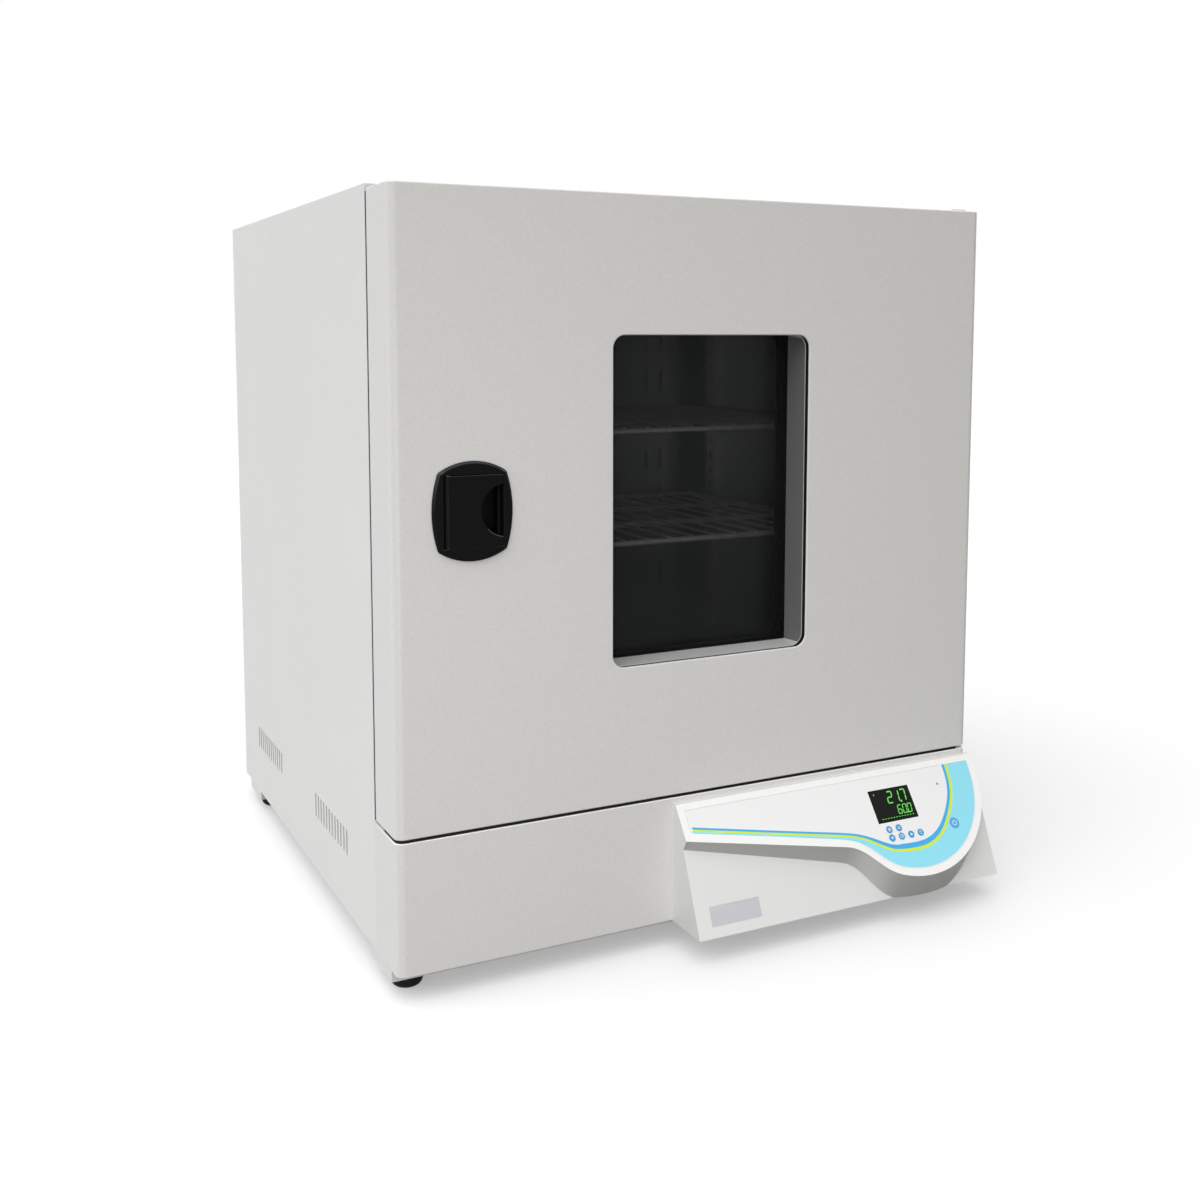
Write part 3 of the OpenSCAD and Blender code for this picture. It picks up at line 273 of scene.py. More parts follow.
door_paint = powder_coat("door_paint", DOOR_GREY)
# Painted light and shade: the base colour follows how far the surface faces sideways, lighter on the side faces
# and darker on the bends.
sideways = door_paint.node_tree.nodes.new("ShaderNodeMath")
sideways.operation = "ABSOLUTE"
door_paint.node_tree.links.new(axis_of(door_paint, "Normal", "X"), sideways.inputs[0])
door_facing_shade = add_tones(door_paint, "Base Color", sideways.outputs[0], DOOR_FLAT, DOOR_SIDE_PAINTED_LIGHT, start=0.0, end=1.0)
add_stops(door_facing_shade, DOOR_BENDS_PAINTED_SHADE, DOOR_TINT)
cloud = rescaled(door_paint, surface_noise(door_paint, 420.0, detail=1.0), 0.0, 1.0, low=0.94, high=1.06)
clouded = door_paint.node_tree.nodes.new("ShaderNodeVectorMath")
clouded.operation = "SCALE"
door_paint.node_tree.links.new(door_facing_shade.outputs["Color"], clouded.inputs[0])
door_paint.node_tree.links.new(cloud, clouded.inputs["Scale"])
door_paint.node_tree.links.new(clouded.outputs["Vector"], shader_of(door_paint).inputs["Base Color"])
door_skin = copied("door_outer_panel", "door_skin", "door")
round_edges(door_skin, width=DOOR_ROUND, segments=3, wanted=door_edge)
finish_copy(door_skin, door_paint)

# Plinth cover and foot rails: folded sheet in the door's paint. The cover is wrapped round the
# corners of the cabinet's base and screwed on, and its broken top edge carries a painted highlight,
# a lighter line in a whiter paint.
PLINTH_TOP, BASE_Z, PLINTH_ROUND, HIGHLIGHT_DEPTH = 0.156, 0.026, 2.4, 0.0026
HIGHLIGHT_WHITE = (0.96, 0.955, 0.945)
dress(door_paint, "front_foot_rail", "rear_foot_rail")
plinth_skin = copied("plinth_cover", "plinth_skin", "cabinet")
round_edges(plinth_skin, width=PLINTH_ROUND, segments=4,
            wanted=lambda p: level(p.z, PLINTH_TOP) or level(p.z, BASE_Z))
finish_copy(plinth_skin, door_paint)
plinth_painted_highlight = powder_coat("plinth_painted_highlight", HIGHLIGHT_WHITE)
soft_waves(plinth_painted_highlight, HIGHLIGHT_WHITE)
plinth_skin.data.materials.append(plinth_painted_highlight)
# Painted highlight: the up-facing faces of the rounded top edge take the whiter paint.
for face in plinth_skin.data.polygons:
    if face.center.z > PLINTH_TOP - HIGHLIGHT_DEPTH and 0.1 < face.normal.z < 0.95:
        face.material_index = 1

# Strip under the door: extruded black rubber, glued flat on the plinth just behind its front edge.
# It is painted shade, a dark piece put in the gap under the door where there is only shade. It is
# bent round the left front corner and ends short of the right one, clear of the door.
STRIP_WIDE, STRIP_HIGH, STRIP_CORNER = 0.0026, 0.0024, 0.0078
STRIP_HALF, STRIP_FRONT, STRIP_BACK = 0.3385, DOOR_Y + 0.0016, -0.262
STRIP_ENDS = (((0.0, -0.275, 0.0), (0.0, 1.0, 0.0)), ((0.326, 0.0, 0.0), (1.0, 0.0, 0.0)))
rubber = plain_finish("rubber", (0.005, 0.005, 0.005), roughness=0.6)
shader_of(rubber).inputs["Specular IOR Level"].default_value = 0.15
add_relief(rubber, strength=0.3, depth=0.0001, scale=900.0)


def finish_strip(piece, name, thickness, width, segments, wanted):
    """Gives a flat strip its thickness, rounds its outer edges and fixes it to the cabinet."""
    bpy.ops.mesh.select_all(action="SELECT")
    bpy.ops.mesh.extrude_region_move(TRANSFORM_OT_translate={"value": thickness})
    bpy.ops.mesh.select_all(action="SELECT")
    bpy.ops.mesh.normals_make_consistent(inside=False)
    bpy.ops.mesh.select_all(action="DESELECT")
    bpy.ops.object.mode_set(mode="OBJECT")
    piece.name = piece.data.name = name
    round_edges(piece, width, segments, wanted)
    finish_copy(piece, rubber)
    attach(piece, "cabinet")


bpy.ops.mesh.primitive_plane_add(size=1.0, location=(0.0, (STRIP_FRONT + STRIP_BACK) / 2, PLINTH_TOP))
plinth_shade_strip = bpy.context.object
plinth_shade_strip.scale = (2 * STRIP_HALF, STRIP_BACK - STRIP_FRONT, 1.0)
bpy.ops.object.transform_apply(location=True, rotation=True, scale=True)
for v in plinth_shade_strip.data.vertices:
    v.select = v.co.y < (STRIP_FRONT + STRIP_BACK) / 2
bpy.ops.object.mode_set(mode="EDIT")
bpy.ops.mesh.select_mode(type="VERT")
bpy.ops.mesh.bevel(offset=STRIP_CORNER, segments=6, affect="VERTICES")
bpy.ops.mesh.select_all(action="SELECT")
bpy.ops.mesh.inset(thickness=STRIP_WIDE)
bpy.ops.mesh.delete(type="FACE")
for place, way in STRIP_ENDS:
    bpy.ops.mesh.select_all(action="SELECT")
    bpy.ops.mesh.bisect(plane_co=place, plane_no=way, clear_outer=True)
finish_strip(plinth_shade_strip, "plinth_shade_strip", (0.0, 0.0, STRIP_HIGH), width=0.5, segments=2,
             wanted=lambda p: p.z > PLINTH_TOP + 0.8 * STRIP_HIGH)

# Strip beside the door: the same rubber, standing on the cabinet's front frame close behind the
# door's left edge. It is painted shade, a dark piece put in the gap beside the door where there is
# only shade. It is glued on and stays clear of the door.
FRAME_X, FRAME_Y, FRAME_TOP = -0.3382, -0.248286, 0.7595
FRAME_STRIP_WIDE, FRAME_STRIP_DEEP = 0.0026, 0.0034
bpy.ops.mesh.primitive_plane_add(size=1.0, location=(FRAME_X, FRAME_Y, (DOOR_LOW + FRAME_TOP) / 2),
                                 rotation=(math.radians(90.0), 0.0, 0.0))
frame_shade_strip = bpy.context.object
frame_shade_strip.scale = (FRAME_STRIP_WIDE, FRAME_TOP - DOOR_LOW, 1.0)
bpy.ops.object.transform_apply(location=True, rotation=True, scale=True)
bpy.ops.object.mode_set(mode="EDIT")
finish_strip(frame_shade_strip, "frame_shade_strip", (0.0, -FRAME_STRIP_DEEP, 0.0), width=0.8, segments=3,
             wanted=lambda p: p.y < FRAME_Y - 0.6 * FRAME_STRIP_DEEP)

# Feet: round pads of black rubber with full edges, moulded in one piece and screwed under the ends
# of the foot rails.
FOOT_HIGH = 0.015
feet = copied("rubber_feet", "foot_pads", "cabinet")
round_edges(feet, width=5.5, segments=6, wanted=lambda p: level(p.z, 0.0))
round_edges(feet, width=4.5, segments=5, wanted=lambda p: level(p.z, FOOT_HIGH))
finish_copy(feet, rubber)

# Window: a folded frame in pale grey lines the opening behind a black rubber lip and holds smoked
# double glazing. Its upright sides carry painted shade in a darker grey copy of its finish, and its
# corners are square where it meets the glass.
WINDOW_HALF, WINDOW_MID, WINDOW_TALL, WINDOW_R = 0.1145, 0.4625, 0.1645, 0.013
GLASS_Y, CORNER_NEAR, CORNER_SHRINK, SIDEWAYS = DOOR_Y + 0.040, 0.0004, 0.1, 0.6
reveal = plain_finish("reveal_frame", (0.64, 0.65, 0.64), roughness=0.38)
reveal_painted_shade = plain_finish("reveal_upright_painted_shade", (0.17, 0.175, 0.17), roughness=0.38)
uneven_gloss(reveal, 0.32, 0.45, scale=300.0)
uneven_gloss(reveal_painted_shade, 0.32, 0.45, scale=300.0)
window_frame = copied("window_frame", "window_reveal", "door")
for side, end in ((-1, -1), (-1, 1), (1, -1), (1, 1)):
    corner = (side * WINDOW_HALF, GLASS_Y, WINDOW_MID + end * WINDOW_TALL)
    middle = Vector((corner[0] - side * WINDOW_R, 0.0, corner[2] - end * WINDOW_R))
    for v in window_frame.data.vertices:
        out = Vector((v.co.x - middle.x, 0.0, v.co.z - middle.z))
        v.select = level(v.co.y, GLASS_Y) and abs(out.length - WINDOW_R) < CORNER_NEAR
    bpy.ops.object.mode_set(mode="EDIT")
    bpy.ops.transform.resize(value=(CORNER_SHRINK, 1.0, CORNER_SHRINK), center_override=corner)
    bpy.ops.mesh.select_all(action="DESELECT")
    bpy.ops.object.mode_set(mode="OBJECT")
window_frame.data.materials.append(reveal)
window_frame.data.materials.append(reveal_painted_shade)
# Painted shade: faces that look sideways take the darker copy of the frame's finish.
for face in window_frame.data.polygons:
    face.material_index = 1 if abs(face.normal.x) > SIDEWAYS else 0
window_frame.select_set(False)
smoked = plain_finish("window_glass", (0.012, 0.013, 0.013), roughness=0.03)
shader_of(smoked).inputs["Alpha"].default_value = 0.28
shader_of(smoked).inputs["IOR"].default_value = 1.45
shader_of(smoked).inputs["Specular IOR Level"].default_value = 0.16
dress(smoked, "outer_glass", "inner_glass")
dress(rubber, "window_gasket")

# Door seal: a flat frame of black silicone with a dull skin, moulded in one piece and glued to the
# inner panel, all round the chamber's mouth.
silicone = plain_finish("silicone", (0.02, 0.02, 0.021), roughness=0.5)
add_relief(silicone, strength=0.2, depth=0.0001, scale=500.0)
dress(silicone, "door_gasket")

# Latch: a black moulded bezel set into the door, with a recess for a rectangular paddle that is
# hinged at its left. Its narrow edges that face up carry a painted highlight in grey, and the bezel's
# outer rim carries a painted sheen that grows lighter towards the top.
LATCH_X, LATCH_Z, LATCH_ROUND = -0.262, 0.464, 0.7
LATCH_TOP = LATCH_Z + 0.045
BEZEL_FRONT, PADDLE_FRONT, PADDLE_LEFT = DOOR_Y + 0.0015, DOOR_Y + 0.0065, LATCH_X - 0.022
BEZEL_HALF_X, BEZEL_HALF_Z, PADDLE_HALF_Z = 0.033, 0.038, 0.030
SCOOP_LEFT, SCOOP_LOW, SCOOP_TOP = 0.010, -0.026, -0.014
NARROW_FACE, FORWARD, UPWARD = 0.00008, 0.97, 0.25
INK_BLACK, RIM_SHEEN_GREY = (0.0035, 0.0035, 0.0036), (0.05, 0.053, 0.06)
black = plain_finish("black_plastic", INK_BLACK, roughness=0.38)
shader_of(black).inputs["Specular IOR Level"].default_value = 0.06
add_relief(black, strength=0.25, depth=0.00005, scale=1500.0, detail=1.0)
uneven_gloss(black, 0.32, 0.44, scale=400.0)
latch_painted_highlight = plain_finish("black_plastic_painted_highlight", (0.055, 0.057, 0.06), roughness=0.3)
uneven_gloss(latch_painted_highlight, 0.25, 0.36, scale=400.0)
latch_rim_painted_sheen = plain_finish("black_plastic_rim_painted_sheen", INK_BLACK, roughness=0.34)
shader_of(latch_rim_painted_sheen).inputs["Specular IOR Level"].default_value = 0.06
rise = rescaled(latch_rim_painted_sheen, axis_of(latch_rim_painted_sheen, "Object", "Z"), LATCH_Z, LATCH_TOP)
add_tones(latch_rim_painted_sheen, "Base Color", rise, INK_BLACK, RIM_SHEEN_GREY, start=0.0, end=1.0)
bezel = copied("latch_housing", "latch_bezel", "door")
paddle = copied("latch_paddle", "latch_handle", "paddle")
round_edges(bezel, width=LATCH_ROUND, segments=2, wanted=lambda p: p.y < BEZEL_FRONT, clamp=False)
round_edges(paddle, width=LATCH_ROUND, segments=2,
            wanted=lambda p: p.y < PADDLE_FRONT and p.x > PADDLE_LEFT, clamp=False)
for piece in (bezel, paddle):
    finish_copy(piece, black)
    piece.data.materials.append(latch_painted_highlight)
    piece.data.materials.append(latch_rim_painted_sheen)
    # Painted highlight and sheen: narrow up-facing edges take the grey copy, and narrow faces outside the
    # bezel's face take the rim copy, lighter towards the top.
    for face in piece.data.polygons:
        x, z = face.center.x - LATCH_X, face.center.z - LATCH_Z
        narrow = face.area < NARROW_FACE and face.center.y < PADDLE_FRONT and abs(face.normal.y) < FORWARD
        outside = piece is bezel and (abs(x) > BEZEL_HALF_X or abs(z) > BEZEL_HALF_Z)
        scoop = piece is paddle and x > SCOOP_LEFT and SCOOP_LOW < z < SCOOP_TOP
        if narrow and outside:
            face.material_index = 2
        elif narrow and face.normal.z > UPWARD and (abs(z) > PADDLE_HALF_Z or scoop):
            face.material_index = 1

# Control console: one white moulding with a fine satin texture and softly rounded edges, screwed to
# the plinth. Its colour carries painted light and shade by facing: faces that look up are painted
# lightest, and the undercut is painted darkest.
CONSOLE_ROUND, CONSOLE_SEGMENTS, CONSOLE_SHARP = 1.2, 3, math.radians(20.0)
CONSOLE_PAINTED_SHADE, CONSOLE_PAINTED_LIGHT = (0.49, 0.485, 0.465), (0.73, 0.728, 0.71)
CONSOLE_LIGHT_STOPS, CONSOLE_TINT = ((0.45, 0.68), (0.71, 0.8), (0.77, 0.92), (0.84, 0.92)), (1.0, 0.997, 0.98)
console_white = plain_finish("console_plastic", (0.745, 0.742, 0.725), roughness=0.4)
shader_of(console_white).inputs["Specular IOR Level"].default_value = 0.3
add_relief(console_white, strength=0.12, depth=0.00005, scale=1200.0, detail=1.0)
uneven_gloss(console_white, 0.36, 0.44, scale=60.0)
# Painted light and shade: the base colour follows how far each face looks up.
upward = rescaled(console_white, axis_of(console_white, "Normal", "Z"), -1.0, 1.0)
console_facing_light = add_tones(console_white, "Base Color", upward, CONSOLE_PAINTED_SHADE, CONSOLE_PAINTED_LIGHT, start=0.27, end=0.98)
add_stops(console_facing_light, CONSOLE_LIGHT_STOPS, CONSOLE_TINT)
console = copied("control_console", "console_moulding", "cabinet")
edge = console.modifiers.new("edge", "BEVEL")
edge.width, edge.segments = CONSOLE_ROUND * MM, CONSOLE_SEGMENTS
edge.limit_method, edge.angle_limit = "ANGLE", CONSOLE_SHARP
edge.use_clamp_overlap = True
bpy.ops.object.modifier_apply(modifier=edge.name)
finish_copy(console, console_white)

# Silver plate: a thin satin aluminium plate, pressed into its recess on the console's lower face
# and glued. Its brushing runs along it, and it is left blank.
plate_silver = plain_finish("plate_silver", (0.55, 0.56, 0.59), roughness=0.4, metallic=0.5)
uneven_gloss(plate_silver, 0.3, 0.5, scale=600.0, stretch=(0.05, 1, 1))
dress(plate_silver, "nameplate")

# Keypad film: white polycarbonate, glued to the plate and printed with plain bands in blue, lime and
# pale blue along its lower edge and round the lobe. They are thin prints, given in mm in the plate's
# own frame, and the pale one is open round the power key.
PLATE_CORNER, PLATE_TILT = (-0.046, -0.320886, 0.150), 36.0
PLATE = (Matrix.Translation(PLATE_CORNER) @ Matrix.Rotation(math.radians(90.0 - PLATE_TILT), 4, "X")
         @ Matrix.Scale(MM, 4))
PLATE_W, PLATE_LOW, PLATE_WAIST, WAIST_X = 386.0, 38.0, 75.0, 184.0
LOBE_X, LOBE_DROP, LOBE_R, JOINT_ANGLE, JOINT_RUN = 277.0, 11.5, 109.0, 110.0, 2.2
FILM_LEFT, FILM_TOP, FILM_RIM = 8.2, 7.2, 8.2
POWER_X, POWER_DROP, POWER_R, POWER_GAP = LOBE_X + 52.5, 72.3, 5.8, 0.15
SLOPE = (PLATE_WAIST - PLATE_LOW) / WAIST_X
STRAIGHT_STEPS, WAIST_STEPS, LOBE_STEPS, EVEN_PASSES = 12, 20, 40, 10
PRINT_T, INK_SPREAD = 0.06, 0.04


def film_edge():
    """Points of the plate's lower edge with the way inwards at each, from the left end to the top right."""
    lean = math.atan(SLOPE)
    along, inward = Vector((math.cos(lean), -math.sin(lean))), Vector((math.sin(lean), math.cos(lean)))
    waist = Vector((WAIST_X, -PLATE_WAIST))
    joint_turn = math.radians(JOINT_ANGLE)
    centre = Vector((LOBE_X, -LOBE_DROP))
    joint = centre + LOBE_R * Vector((math.cos(joint_turn), -math.sin(joint_turn)))
    run = (joint.x - waist.x) / JOINT_RUN
    edge = [(waist - along * (WAIST_X - FILM_LEFT) / along.x * (1 - i / STRAIGHT_STEPS), inward)
            for i in range(STRAIGHT_STEPS)]
    a, b = waist, waist + run * Vector((1.0, -SLOPE))
    c, d = joint - run * Vector((math.sin(joint_turn), math.cos(joint_turn))), joint
    for i in range(WAIST_STEPS + 1):
        t = i / WAIST_STEPS
        s = 1 - t
        point = s ** 3 * a + 3 * s * s * t * b + 3 * s * t * t * c + t ** 3 * d
        way = 3 * s * s * (b - a) + 6 * s * t * (c - b) + 3 * t * t * (d - c)
        edge.append((point, Vector((-way.y, way.x)).normalized()))
    for i in range(1, LOBE_STEPS + 1):
        turn = joint_turn * (1 - i / LOBE_STEPS)
        out = Vector((math.cos(turn), -math.sin(turn)))
        edge.append((centre + LOBE_R * out, -out))
    edge.append((Vector((PLATE_W, -FILM_TOP)), Vector((-1.0, 0.0))))
    return edge


def band_line(width):
    """The line at a given distance inside the plate's edge, evened out where the edge bends tightly."""
    edge = film_edge()
    line = [point + inward * width(k / (len(edge) - 1)) for k, (point, inward) in enumerate(edge)]
    for _ in range(EVEN_PASSES):
        line[1:-1] = [(a + 2 * b + c) / 4 for a, b, c in zip(line, line[1:], line[2:])]
    return line


def settle_print(piece, name, mat, body):
    """Gives a flat print its thickness, lays it on the plate and fixes it to its body."""
    take(piece)
    bpy.ops.object.transform_apply(location=True, rotation=True, scale=True)
    bpy.ops.object.mode_set(mode="EDIT")
    bpy.ops.mesh.select_all(action="SELECT")
    bpy.ops.mesh.remove_doubles(threshold=0.001)
    bpy.ops.mesh.normals_make_consistent(inside=False)
    bpy.ops.object.mode_set(mode="OBJECT")
    if piece.data.polygons[0].normal.z < 0:
        piece.data.flip_normals()
    solid = piece.modifiers.new("ink", "SOLIDIFY")
    solid.thickness = PRINT_T
    solid.offset = 1.0
    bpy.ops.object.modifier_apply(modifier=solid.name)
    piece.data.transform(PLATE)
    piece.name = piece.data.name = name
    piece.data.materials.clear()
    piece.data.materials.append(mat)
    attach(piece, body)
    piece.select_set(False)


def band(name, mat, low, high):
    """A printed band between two distances from the plate's edge, each a function of the run 0 to 1."""
    lines = band_line(low), band_line(high)
    bpy.ops.mesh.primitive_grid_add(x_subdivisions=len(lines[0]) - 1, y_subdivisions=1, size=1.0)
    piece = bpy.context.object
    columns = sorted({round(v.co.x, 5) for v in piece.data.vertices})
    for v in piece.data.vertices:
        place = lines[0 if v.co.y < 0 else 1][columns.index(round(v.co.x, 5))]
        v.co = (max(place.x, FILM_LEFT), min(place.y, -FILM_TOP), 0.0)
    settle_print(piece, name, mat, "cabinet")
    return piece


def ink(name, colour, roughness=0.35):
    """Printed or moulded colour with an even satin gloss."""
    mat = plain_finish(name, colour, roughness)
    uneven_gloss(mat, roughness - INK_SPREAD, roughness + INK_SPREAD, scale=900.0)
    return mat


def ease(share, start, end):
    """A soft step from 0 to 1 between two shares of the run."""
    t = min(max((share - start) / (end - start), 0.0), 1.0)
    return t * t * (3 - 2 * t)


def rim_line(share):
    """How far from the plate's edge the first band starts, in mm. The next three end the bands."""
    return FILM_RIM + 0.3


def pale_width(share):
    return FILM_RIM + 2.2 + 17.3 * ease(share, 0.12, 0.56) + 9.5 * ease(share, 0.55, 0.8)


def lime_width(share):
    return pale_width(share) + 2.1 + 1.2 * ease(share, 0.1, 0.5)


def blue_width(share):
    return lime_width(share) + 2.3 + 3.4 * ease(share, 0.15, 0.45) - 2.2 * ease(share, 0.55, 0.8)


film_white = ink("film_white", (0.865, 0.87, 0.86), roughness=0.32)
dress(film_white, "keypad_film")
sky_blue = ink("print_blue", (0.045, 0.42, 0.82))
lime = ink("print_lime", (0.66, 0.83, 0.034))
pale = ink("print_pale_blue", (0.285, 0.75, 0.89))
pale_band = band("band_pale", pale, rim_line, pale_width)
bpy.ops.mesh.primitive_cylinder_add(vertices=64, radius=POWER_R + POWER_GAP, depth=2.0,
                                    location=(POWER_X, -POWER_DROP, 0.0))
cutter = bpy.context.object
bpy.ops.object.transform_apply(location=True, rotation=True, scale=True)
cutter.data.transform(PLATE)
take(pale_band)
hole = pale_band.modifiers.new("hole", "BOOLEAN")
hole.operation, hole.object, hole.solver = "DIFFERENCE", cutter, "EXACT"
bpy.ops.object.modifier_apply(modifier=hole.name)
pale_band.select_set(False)
bpy.data.objects.remove(cutter)
band("band_lime", lime, pale_width, lime_width)
band("band_blue", sky_blue, lime_width, blue_width)

# Keys: low blue domes that press through the film, with a larger power key in a lighter blue. Each
# carries its white printed sign, in mm in the keypad plate's frame.
KEY_TOP = 0.5
KEY_X, KEY_PITCH, UPPER_ROW, LOWER_ROW = LOBE_X - 34.2, 12.8, -65.8, -75.0
key_blue = ink("key_blue", (0.035, 0.33, 0.66), roughness=0.3)
dress(key_blue, "mode_key", "set_key", "down_key", "timer_key", "up_key", "lamp_key")
power_blue = ink("power_key_blue", (0.07, 0.42, 0.74), roughness=0.3)
dress(power_blue, "power_key")
sign_white = ink("sign_white", (0.85, 0.87, 0.88))
key_spots = {"mode_key": (KEY_X, UPPER_ROW), "set_key": (KEY_X + KEY_PITCH, UPPER_ROW),
             "down_key": (KEY_X, LOWER_ROW), "timer_key": (KEY_X + KEY_PITCH, LOWER_ROW),
             "up_key": (KEY_X + 2 * KEY_PITCH, LOWER_ROW), "lamp_key": (KEY_X + 3 * KEY_PITCH, LOWER_ROW),
             "power_key": (POWER_X, -POWER_DROP)}


def flat_ring(outer, inner, place, gap=0.0, gap_at=90.0):
    """A flat ring, or a disc where inner is 0, with a gap cut out at one side."""
    centre = (*place, KEY_TOP)
    bpy.ops.mesh.primitive_circle_add(vertices=24, radius=outer, location=centre,
                                      fill_type="NOTHING" if inner else "NGON")
    piece = bpy.context.object
    bpy.ops.object.transform_apply(location=True, rotation=True, scale=True)
    if not inner:
        return piece
    bpy.ops.object.mode_set(mode="EDIT")
    bpy.ops.mesh.select_mode(type="EDGE")
    bpy.ops.mesh.select_all(action="SELECT")
    bpy.ops.mesh.extrude_region_move()
    bpy.ops.transform.resize(value=(inner / outer, inner / outer, 1.0), center_override=centre)
    bpy.ops.mesh.select_mode(type="FACE")
    bpy.ops.mesh.select_all(action="DESELECT")
    bpy.ops.object.mode_set(mode="OBJECT")
    for face in piece.data.polygons:
        turn = math.degrees(math.atan2(face.center.y - place[1], face.center.x - place[0]))
        face.select = abs((turn - gap_at + 180.0) % 360.0 - 180.0) < gap / 2
    bpy.ops.object.mode_set(mode="EDIT")
    bpy.ops.mesh.delete(type="FACE")
    bpy.ops.object.mode_set(mode="OBJECT")
    return piece


def flat_shape(points, place=(0.0, 0.0)):
    """A flat sign from its corner points: a filled circle with as many corners, drawn out to them."""
    bpy.ops.mesh.primitive_circle_add(vertices=len(points), radius=1.0, fill_type="NGON")
    piece = bpy.context.object
    for v, (x, y) in zip(piece.data.vertices, points):
        v.co = (place[0] + x, place[1] + y, KEY_TOP)
    return piece


def flat_bar(left, foot, right, top, place=(0.0, 0.0)):
    """A flat upright rectangle between two corners."""
    return flat_shape([(left, foot), (right, foot), (right, top), (left, top)], place)


def join(pieces):
    """Makes one piece of several."""
    take(pieces[0])
    for piece in pieces:
        piece.select_set(True)
    bpy.ops.object.join()
    return bpy.context.object


signs = {
    "mode_key": lambda p: [flat_ring(1.9, 1.3, p), flat_ring(0.7, 0.0, p)],
    "set_key": lambda p: [flat_bar(-1.8, 0.5, 1.8, 1.1, p), flat_bar(-1.8, -1.1, 1.8, -0.5, p)],
    "down_key": lambda p: [flat_shape([(-1.9, 1.1), (0.0, -1.7), (1.9, 1.1)], p)],
    "timer_key": lambda p: [flat_ring(2.1, 1.6, p), flat_bar(-0.25, -0.2, 0.25, 1.3, p),
                            flat_bar(-0.2, -0.3, 1.1, 0.2, p)],
    "up_key": lambda p: [flat_shape([(-1.9, -1.1), (1.9, -1.1), (0.0, 1.7)], p)],
    "lamp_key": lambda p: [flat_ring(1.5, 0.9, (p[0], p[1] + 0.5), gap=80.0, gap_at=-90.0),
                           flat_bar(-0.7, -2.0, 0.7, -1.2, p)],
    "power_key": lambda p: [flat_ring(3.0, 2.3, p, gap=50.0), flat_bar(-0.35, 0.6, 0.35, 3.6, p)],
}
for key, spot in key_spots.items():
    settle_print(join(signs[key](spot)), key.replace("key", "sign"), sign_white, key)

# Display: a dark window in the film with green seven-segment figures, a row of small dashes and a
# pointer, lit from the module behind it. Figures are given in mm in the keypad plate's frame.
SEGMENTS = {"0": "abcdef", "1": "bc", "2": "abged", "6": "afgedc", "7": "abc"}
FIGURE_WIDE, FIGURE_THICK, FIGURE_LEAN, FIGURE_PITCH, FIGURE_GAP = 0.5, 0.105, 0.12, 0.72, 0.12
DASH_X, DASH_PITCH, DASH_WIDE, DASH_FOOT, DASH_TOP = 239.0, 3.7, 2.2, -54.4, -53.8
POINTER = [(238.0, -27.5), (239.6, -27.5), (238.8, -25.5)]
FIGURE_LEVEL, FIGURE_DOT = 0.02, 0.08
display_black = plain_finish("display_glass", (0.006, 0.008, 0.006), roughness=0.12)
shader_of(display_black).inputs["Specular IOR Level"].default_value = 0.12
uneven_gloss(display_black, 0.1, 0.16, scale=60.0)
dress(display_black, "display_module")
glow_green = plain_finish("display_green", (0.03, 0.2, 0.01), roughness=0.4)
shader_of(glow_green).inputs["Emission Color"].default_value = (0.16, 0.75, 0.09, 1.0)
shader_of(glow_green).inputs["Emission Strength"].default_value = 0.8
uneven_gloss(glow_green, 0.36, 0.44, scale=300.0)


def figure(mark, left, foot, height):
    """One seven-segment figure as flat six-sided bars, leaning to the right."""
    width, thick, half = height * FIGURE_WIDE, height * FIGURE_THICK, height / 2
    bars = {"a": ((0, height), (width, height)), "b": ((width, half), (width, height)),
            "c": ((width, 0), (width, half)), "d": ((0, 0), (width, 0)), "e": ((0, 0), (0, half)),
            "f": ((0, half), (0, height)), "g": ((0, half), (width, half))}
    made = []
    for name in SEGMENTS[mark]:
        a, b = Vector(bars[name][0]), Vector(bars[name][1])
        way = (b - a).normalized()
        side = Vector((-way.y, way.x)) * thick / 2
        a, b = a + way * thick * FIGURE_GAP, b - way * thick * FIGURE_GAP
        ring = [a, a + way * thick / 2 + side, b - way * thick / 2 + side, b, b - way * thick / 2 - side,
                a + way * thick / 2 - side]
        made.append(flat_shape([(left + p.x + FIGURE_LEAN * p.y, foot + p.y) for p in ring]))
    return made


def display_row(marks, left, foot, height):
    """A row of figures, with a square point between them where the marks say."""
    made = []
    for mark in marks:
        if mark == ".":
            dot = height * FIGURE_DOT
            made.append(flat_bar(left - dot * 1.6, foot - dot, left + dot * 0.4, foot + dot))
        else:
            made += figure(mark, left, foot, height)
            left += height * FIGURE_PITCH
    return made


figures = display_row("21.7", left=254.5, foot=-38.2, height=12.4)
figures += display_row("60.0", left=263.0, foot=-51.2, height=9.2)
for i in range(12):
    x = DASH_X + DASH_PITCH * i
    figures.append(flat_bar(x, DASH_FOOT, x + DASH_WIDE, DASH_TOP))
figures = join(figures + [flat_shape(POINTER)])
for v in figures.data.vertices:
    v.co.z = FIGURE_LEVEL
settle_print(figures, "display_figures", glow_green, "cabinet")

# Standby lamp: a small clear red light pipe beside the display. It stands on the board behind, and
# its round end shows in a hole of the film.
lamp_red = plain_finish("lamp_lens", (0.25, 0.05, 0.03), roughness=0.2)
uneven_gloss(lamp_red, 0.15, 0.25, scale=500.0)
dress(lamp_red, "standby_lamp")

# Boards behind the keypad and in the base: glass fibre laminate with a green solder mask, screwed
# to posts.
board = plain_finish("board", (0.03, 0.16, 0.07), roughness=0.35)
uneven_colour(board, (0.02, 0.12, 0.05), (0.05, 0.22, 0.1), scale=500.0, detail=0.0)
dress(board, "control_board", "power_module")

# Mains inlet in the back sheet: a black moulded socket for a detachable lead, in the latch's
# plastic.
dress(black, "mains_inlet")

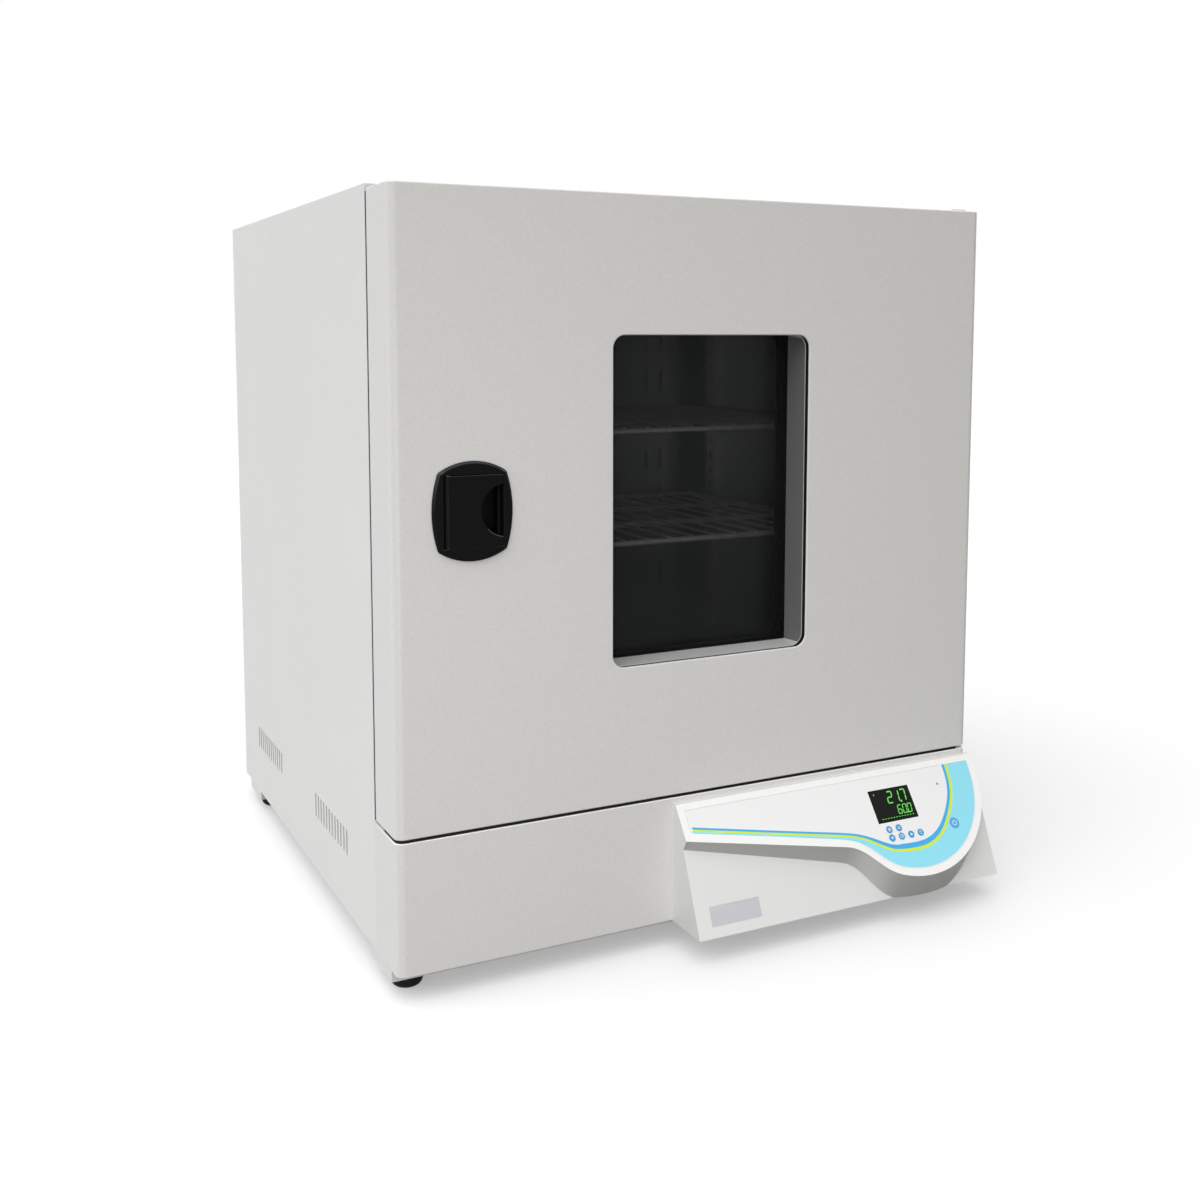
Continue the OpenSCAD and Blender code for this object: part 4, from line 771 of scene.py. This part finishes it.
# Floor and surround: a white floor that keeps the soft shadow, and an even pale surround. What the
# camera, gloss and glass see of them is bright, and what lights the object is plain.
FLOOR_SIZE, FLOOR_SEEN, FLOOR_LIFT, FLOOR_PLAIN = 40.0, 0.62, 0.335, 0.08
SURROUND_SEEN, SURROUND_GLOW = 1.0, 0.42


def seen_bright(tree, plain, shown, out):
    """Gives the camera, gloss and glass the bright shader, and everything else the plain one."""
    ray = tree.nodes.new("ShaderNodeLightPath")
    mirrored = tree.nodes.new("ShaderNodeMath")
    seen = tree.nodes.new("ShaderNodeMath")
    mirrored.operation = seen.operation = "MAXIMUM"
    pick = tree.nodes.new("ShaderNodeMixShader")
    tree.links.new(ray.outputs["Is Glossy Ray"], mirrored.inputs[0])
    tree.links.new(ray.outputs["Is Transmission Ray"], mirrored.inputs[1])
    tree.links.new(ray.outputs["Is Camera Ray"], seen.inputs[0])
    tree.links.new(mirrored.outputs[0], seen.inputs[1])
    tree.links.new(seen.outputs[0], pick.inputs[0])
    tree.links.new(plain.outputs[0], pick.inputs[1])
    tree.links.new(shown.outputs[0], pick.inputs[2])
    tree.links.new(pick.outputs[0], out.inputs["Surface"])


def grey_shader(tree, kind, tone, strength=None):
    """A shader in one grey, and its strength where it gives light."""
    shader = tree.nodes.new(kind)
    shader.inputs["Color"].default_value = (tone, tone, tone, 1.0)
    if strength is not None:
        shader.inputs["Strength"].default_value = strength
    return shader


bpy.ops.mesh.primitive_plane_add(size=FLOOR_SIZE, location=(0.0, 0.0, 0.0))
floor = bpy.context.object
floor.name = "floor"
floor_white = bpy.data.materials.new("floor_white")
floor_white.use_nodes = True
tree = floor_white.node_tree
tree.nodes.clear()
both = tree.nodes.new("ShaderNodeAddShader")
tree.links.new(grey_shader(tree, "ShaderNodeBsdfDiffuse", FLOOR_SEEN).outputs[0], both.inputs[0])
tree.links.new(grey_shader(tree, "ShaderNodeEmission", 1.0, FLOOR_LIFT).outputs[0], both.inputs[1])
seen_bright(tree, grey_shader(tree, "ShaderNodeBsdfDiffuse", FLOOR_PLAIN), both,
            tree.nodes.new("ShaderNodeOutputMaterial"))
floor.data.materials.append(floor_white)
floor.select_set(False)
world = bpy.data.worlds.new("surround")
bpy.context.scene.world = world
world.use_nodes = True
tree = world.node_tree
tree.nodes.clear()
seen_bright(tree, grey_shader(tree, "ShaderNodeBackground", 1.0, SURROUND_GLOW),
            grey_shader(tree, "ShaderNodeBackground", 1.0, SURROUND_SEEN),
            tree.nodes.new("ShaderNodeOutputWorld"))

# Lamps: a large soft one high at the left, a weaker one from behind at the right, and a small one
# low in front at the left that lights the door's bent edge.
LAMP_SPREAD, LAMP_AWAY = 90.0, 3.0
SIDE_PLACE, SIDE_AIM, SIDE_SIZE, SIDE_POWER = (-0.6, -1.5, 0.3), (0.0, -0.32, 0.4), 0.7, 5.3


def hang(name, data, place, way):
    """Hangs a lamp at a place so that it shines a way."""
    lamp = bpy.data.objects.new(name, data)
    bpy.context.collection.objects.link(lamp)
    lamp.location = place
    lamp.rotation_euler = way.to_track_quat("-Z", "Y").to_euler()


def soft_sun(name, towards, power):
    """An even soft lamp from one side; towards points at the lamp."""
    data = bpy.data.lights.new(name, "SUN")
    data.angle = math.radians(LAMP_SPREAD)
    data.energy = power
    hang(name, data, Vector(towards) * LAMP_AWAY, -Vector(towards))


soft_sun("key_lamp", (-0.55, -0.15, 0.78), power=2.68)
soft_sun("fill_lamp", (0.6, 0.7, 0.2), power=0.8)
side_data = bpy.data.lights.new("side_lamp", "AREA")
side_data.size = SIDE_SIZE
side_data.energy = SIDE_POWER
hang("side_lamp", side_data, SIDE_PLACE, Vector(SIDE_AIM) - Vector(SIDE_PLACE))

# Camera: at the photograph's viewing angle, in front at the left and a little below the oven's top,
# with a small shift that puts the object where the frame has it.
CAMERA_PLACE, CAMERA_TILT, CAMERA_TURN = (-0.7054, -1.4799, 0.6245), 84.49, -26.33
CAMERA_SENSOR, CAMERA_LENS, CAMERA_SHIFT = 36.0, 40.33, -0.1106
camera_data = bpy.data.cameras.new("camera")
camera_data.sensor_width = CAMERA_SENSOR
camera_data.lens = CAMERA_LENS
camera_data.shift_y = CAMERA_SHIFT
camera = bpy.data.objects.new("camera", camera_data)
bpy.context.collection.objects.link(camera)
camera.location = CAMERA_PLACE
camera.rotation_euler = (math.radians(CAMERA_TILT), 0.0, math.radians(CAMERA_TURN))
bpy.context.scene.camera = camera
bpy.context.scene.view_settings.view_transform = "Standard"
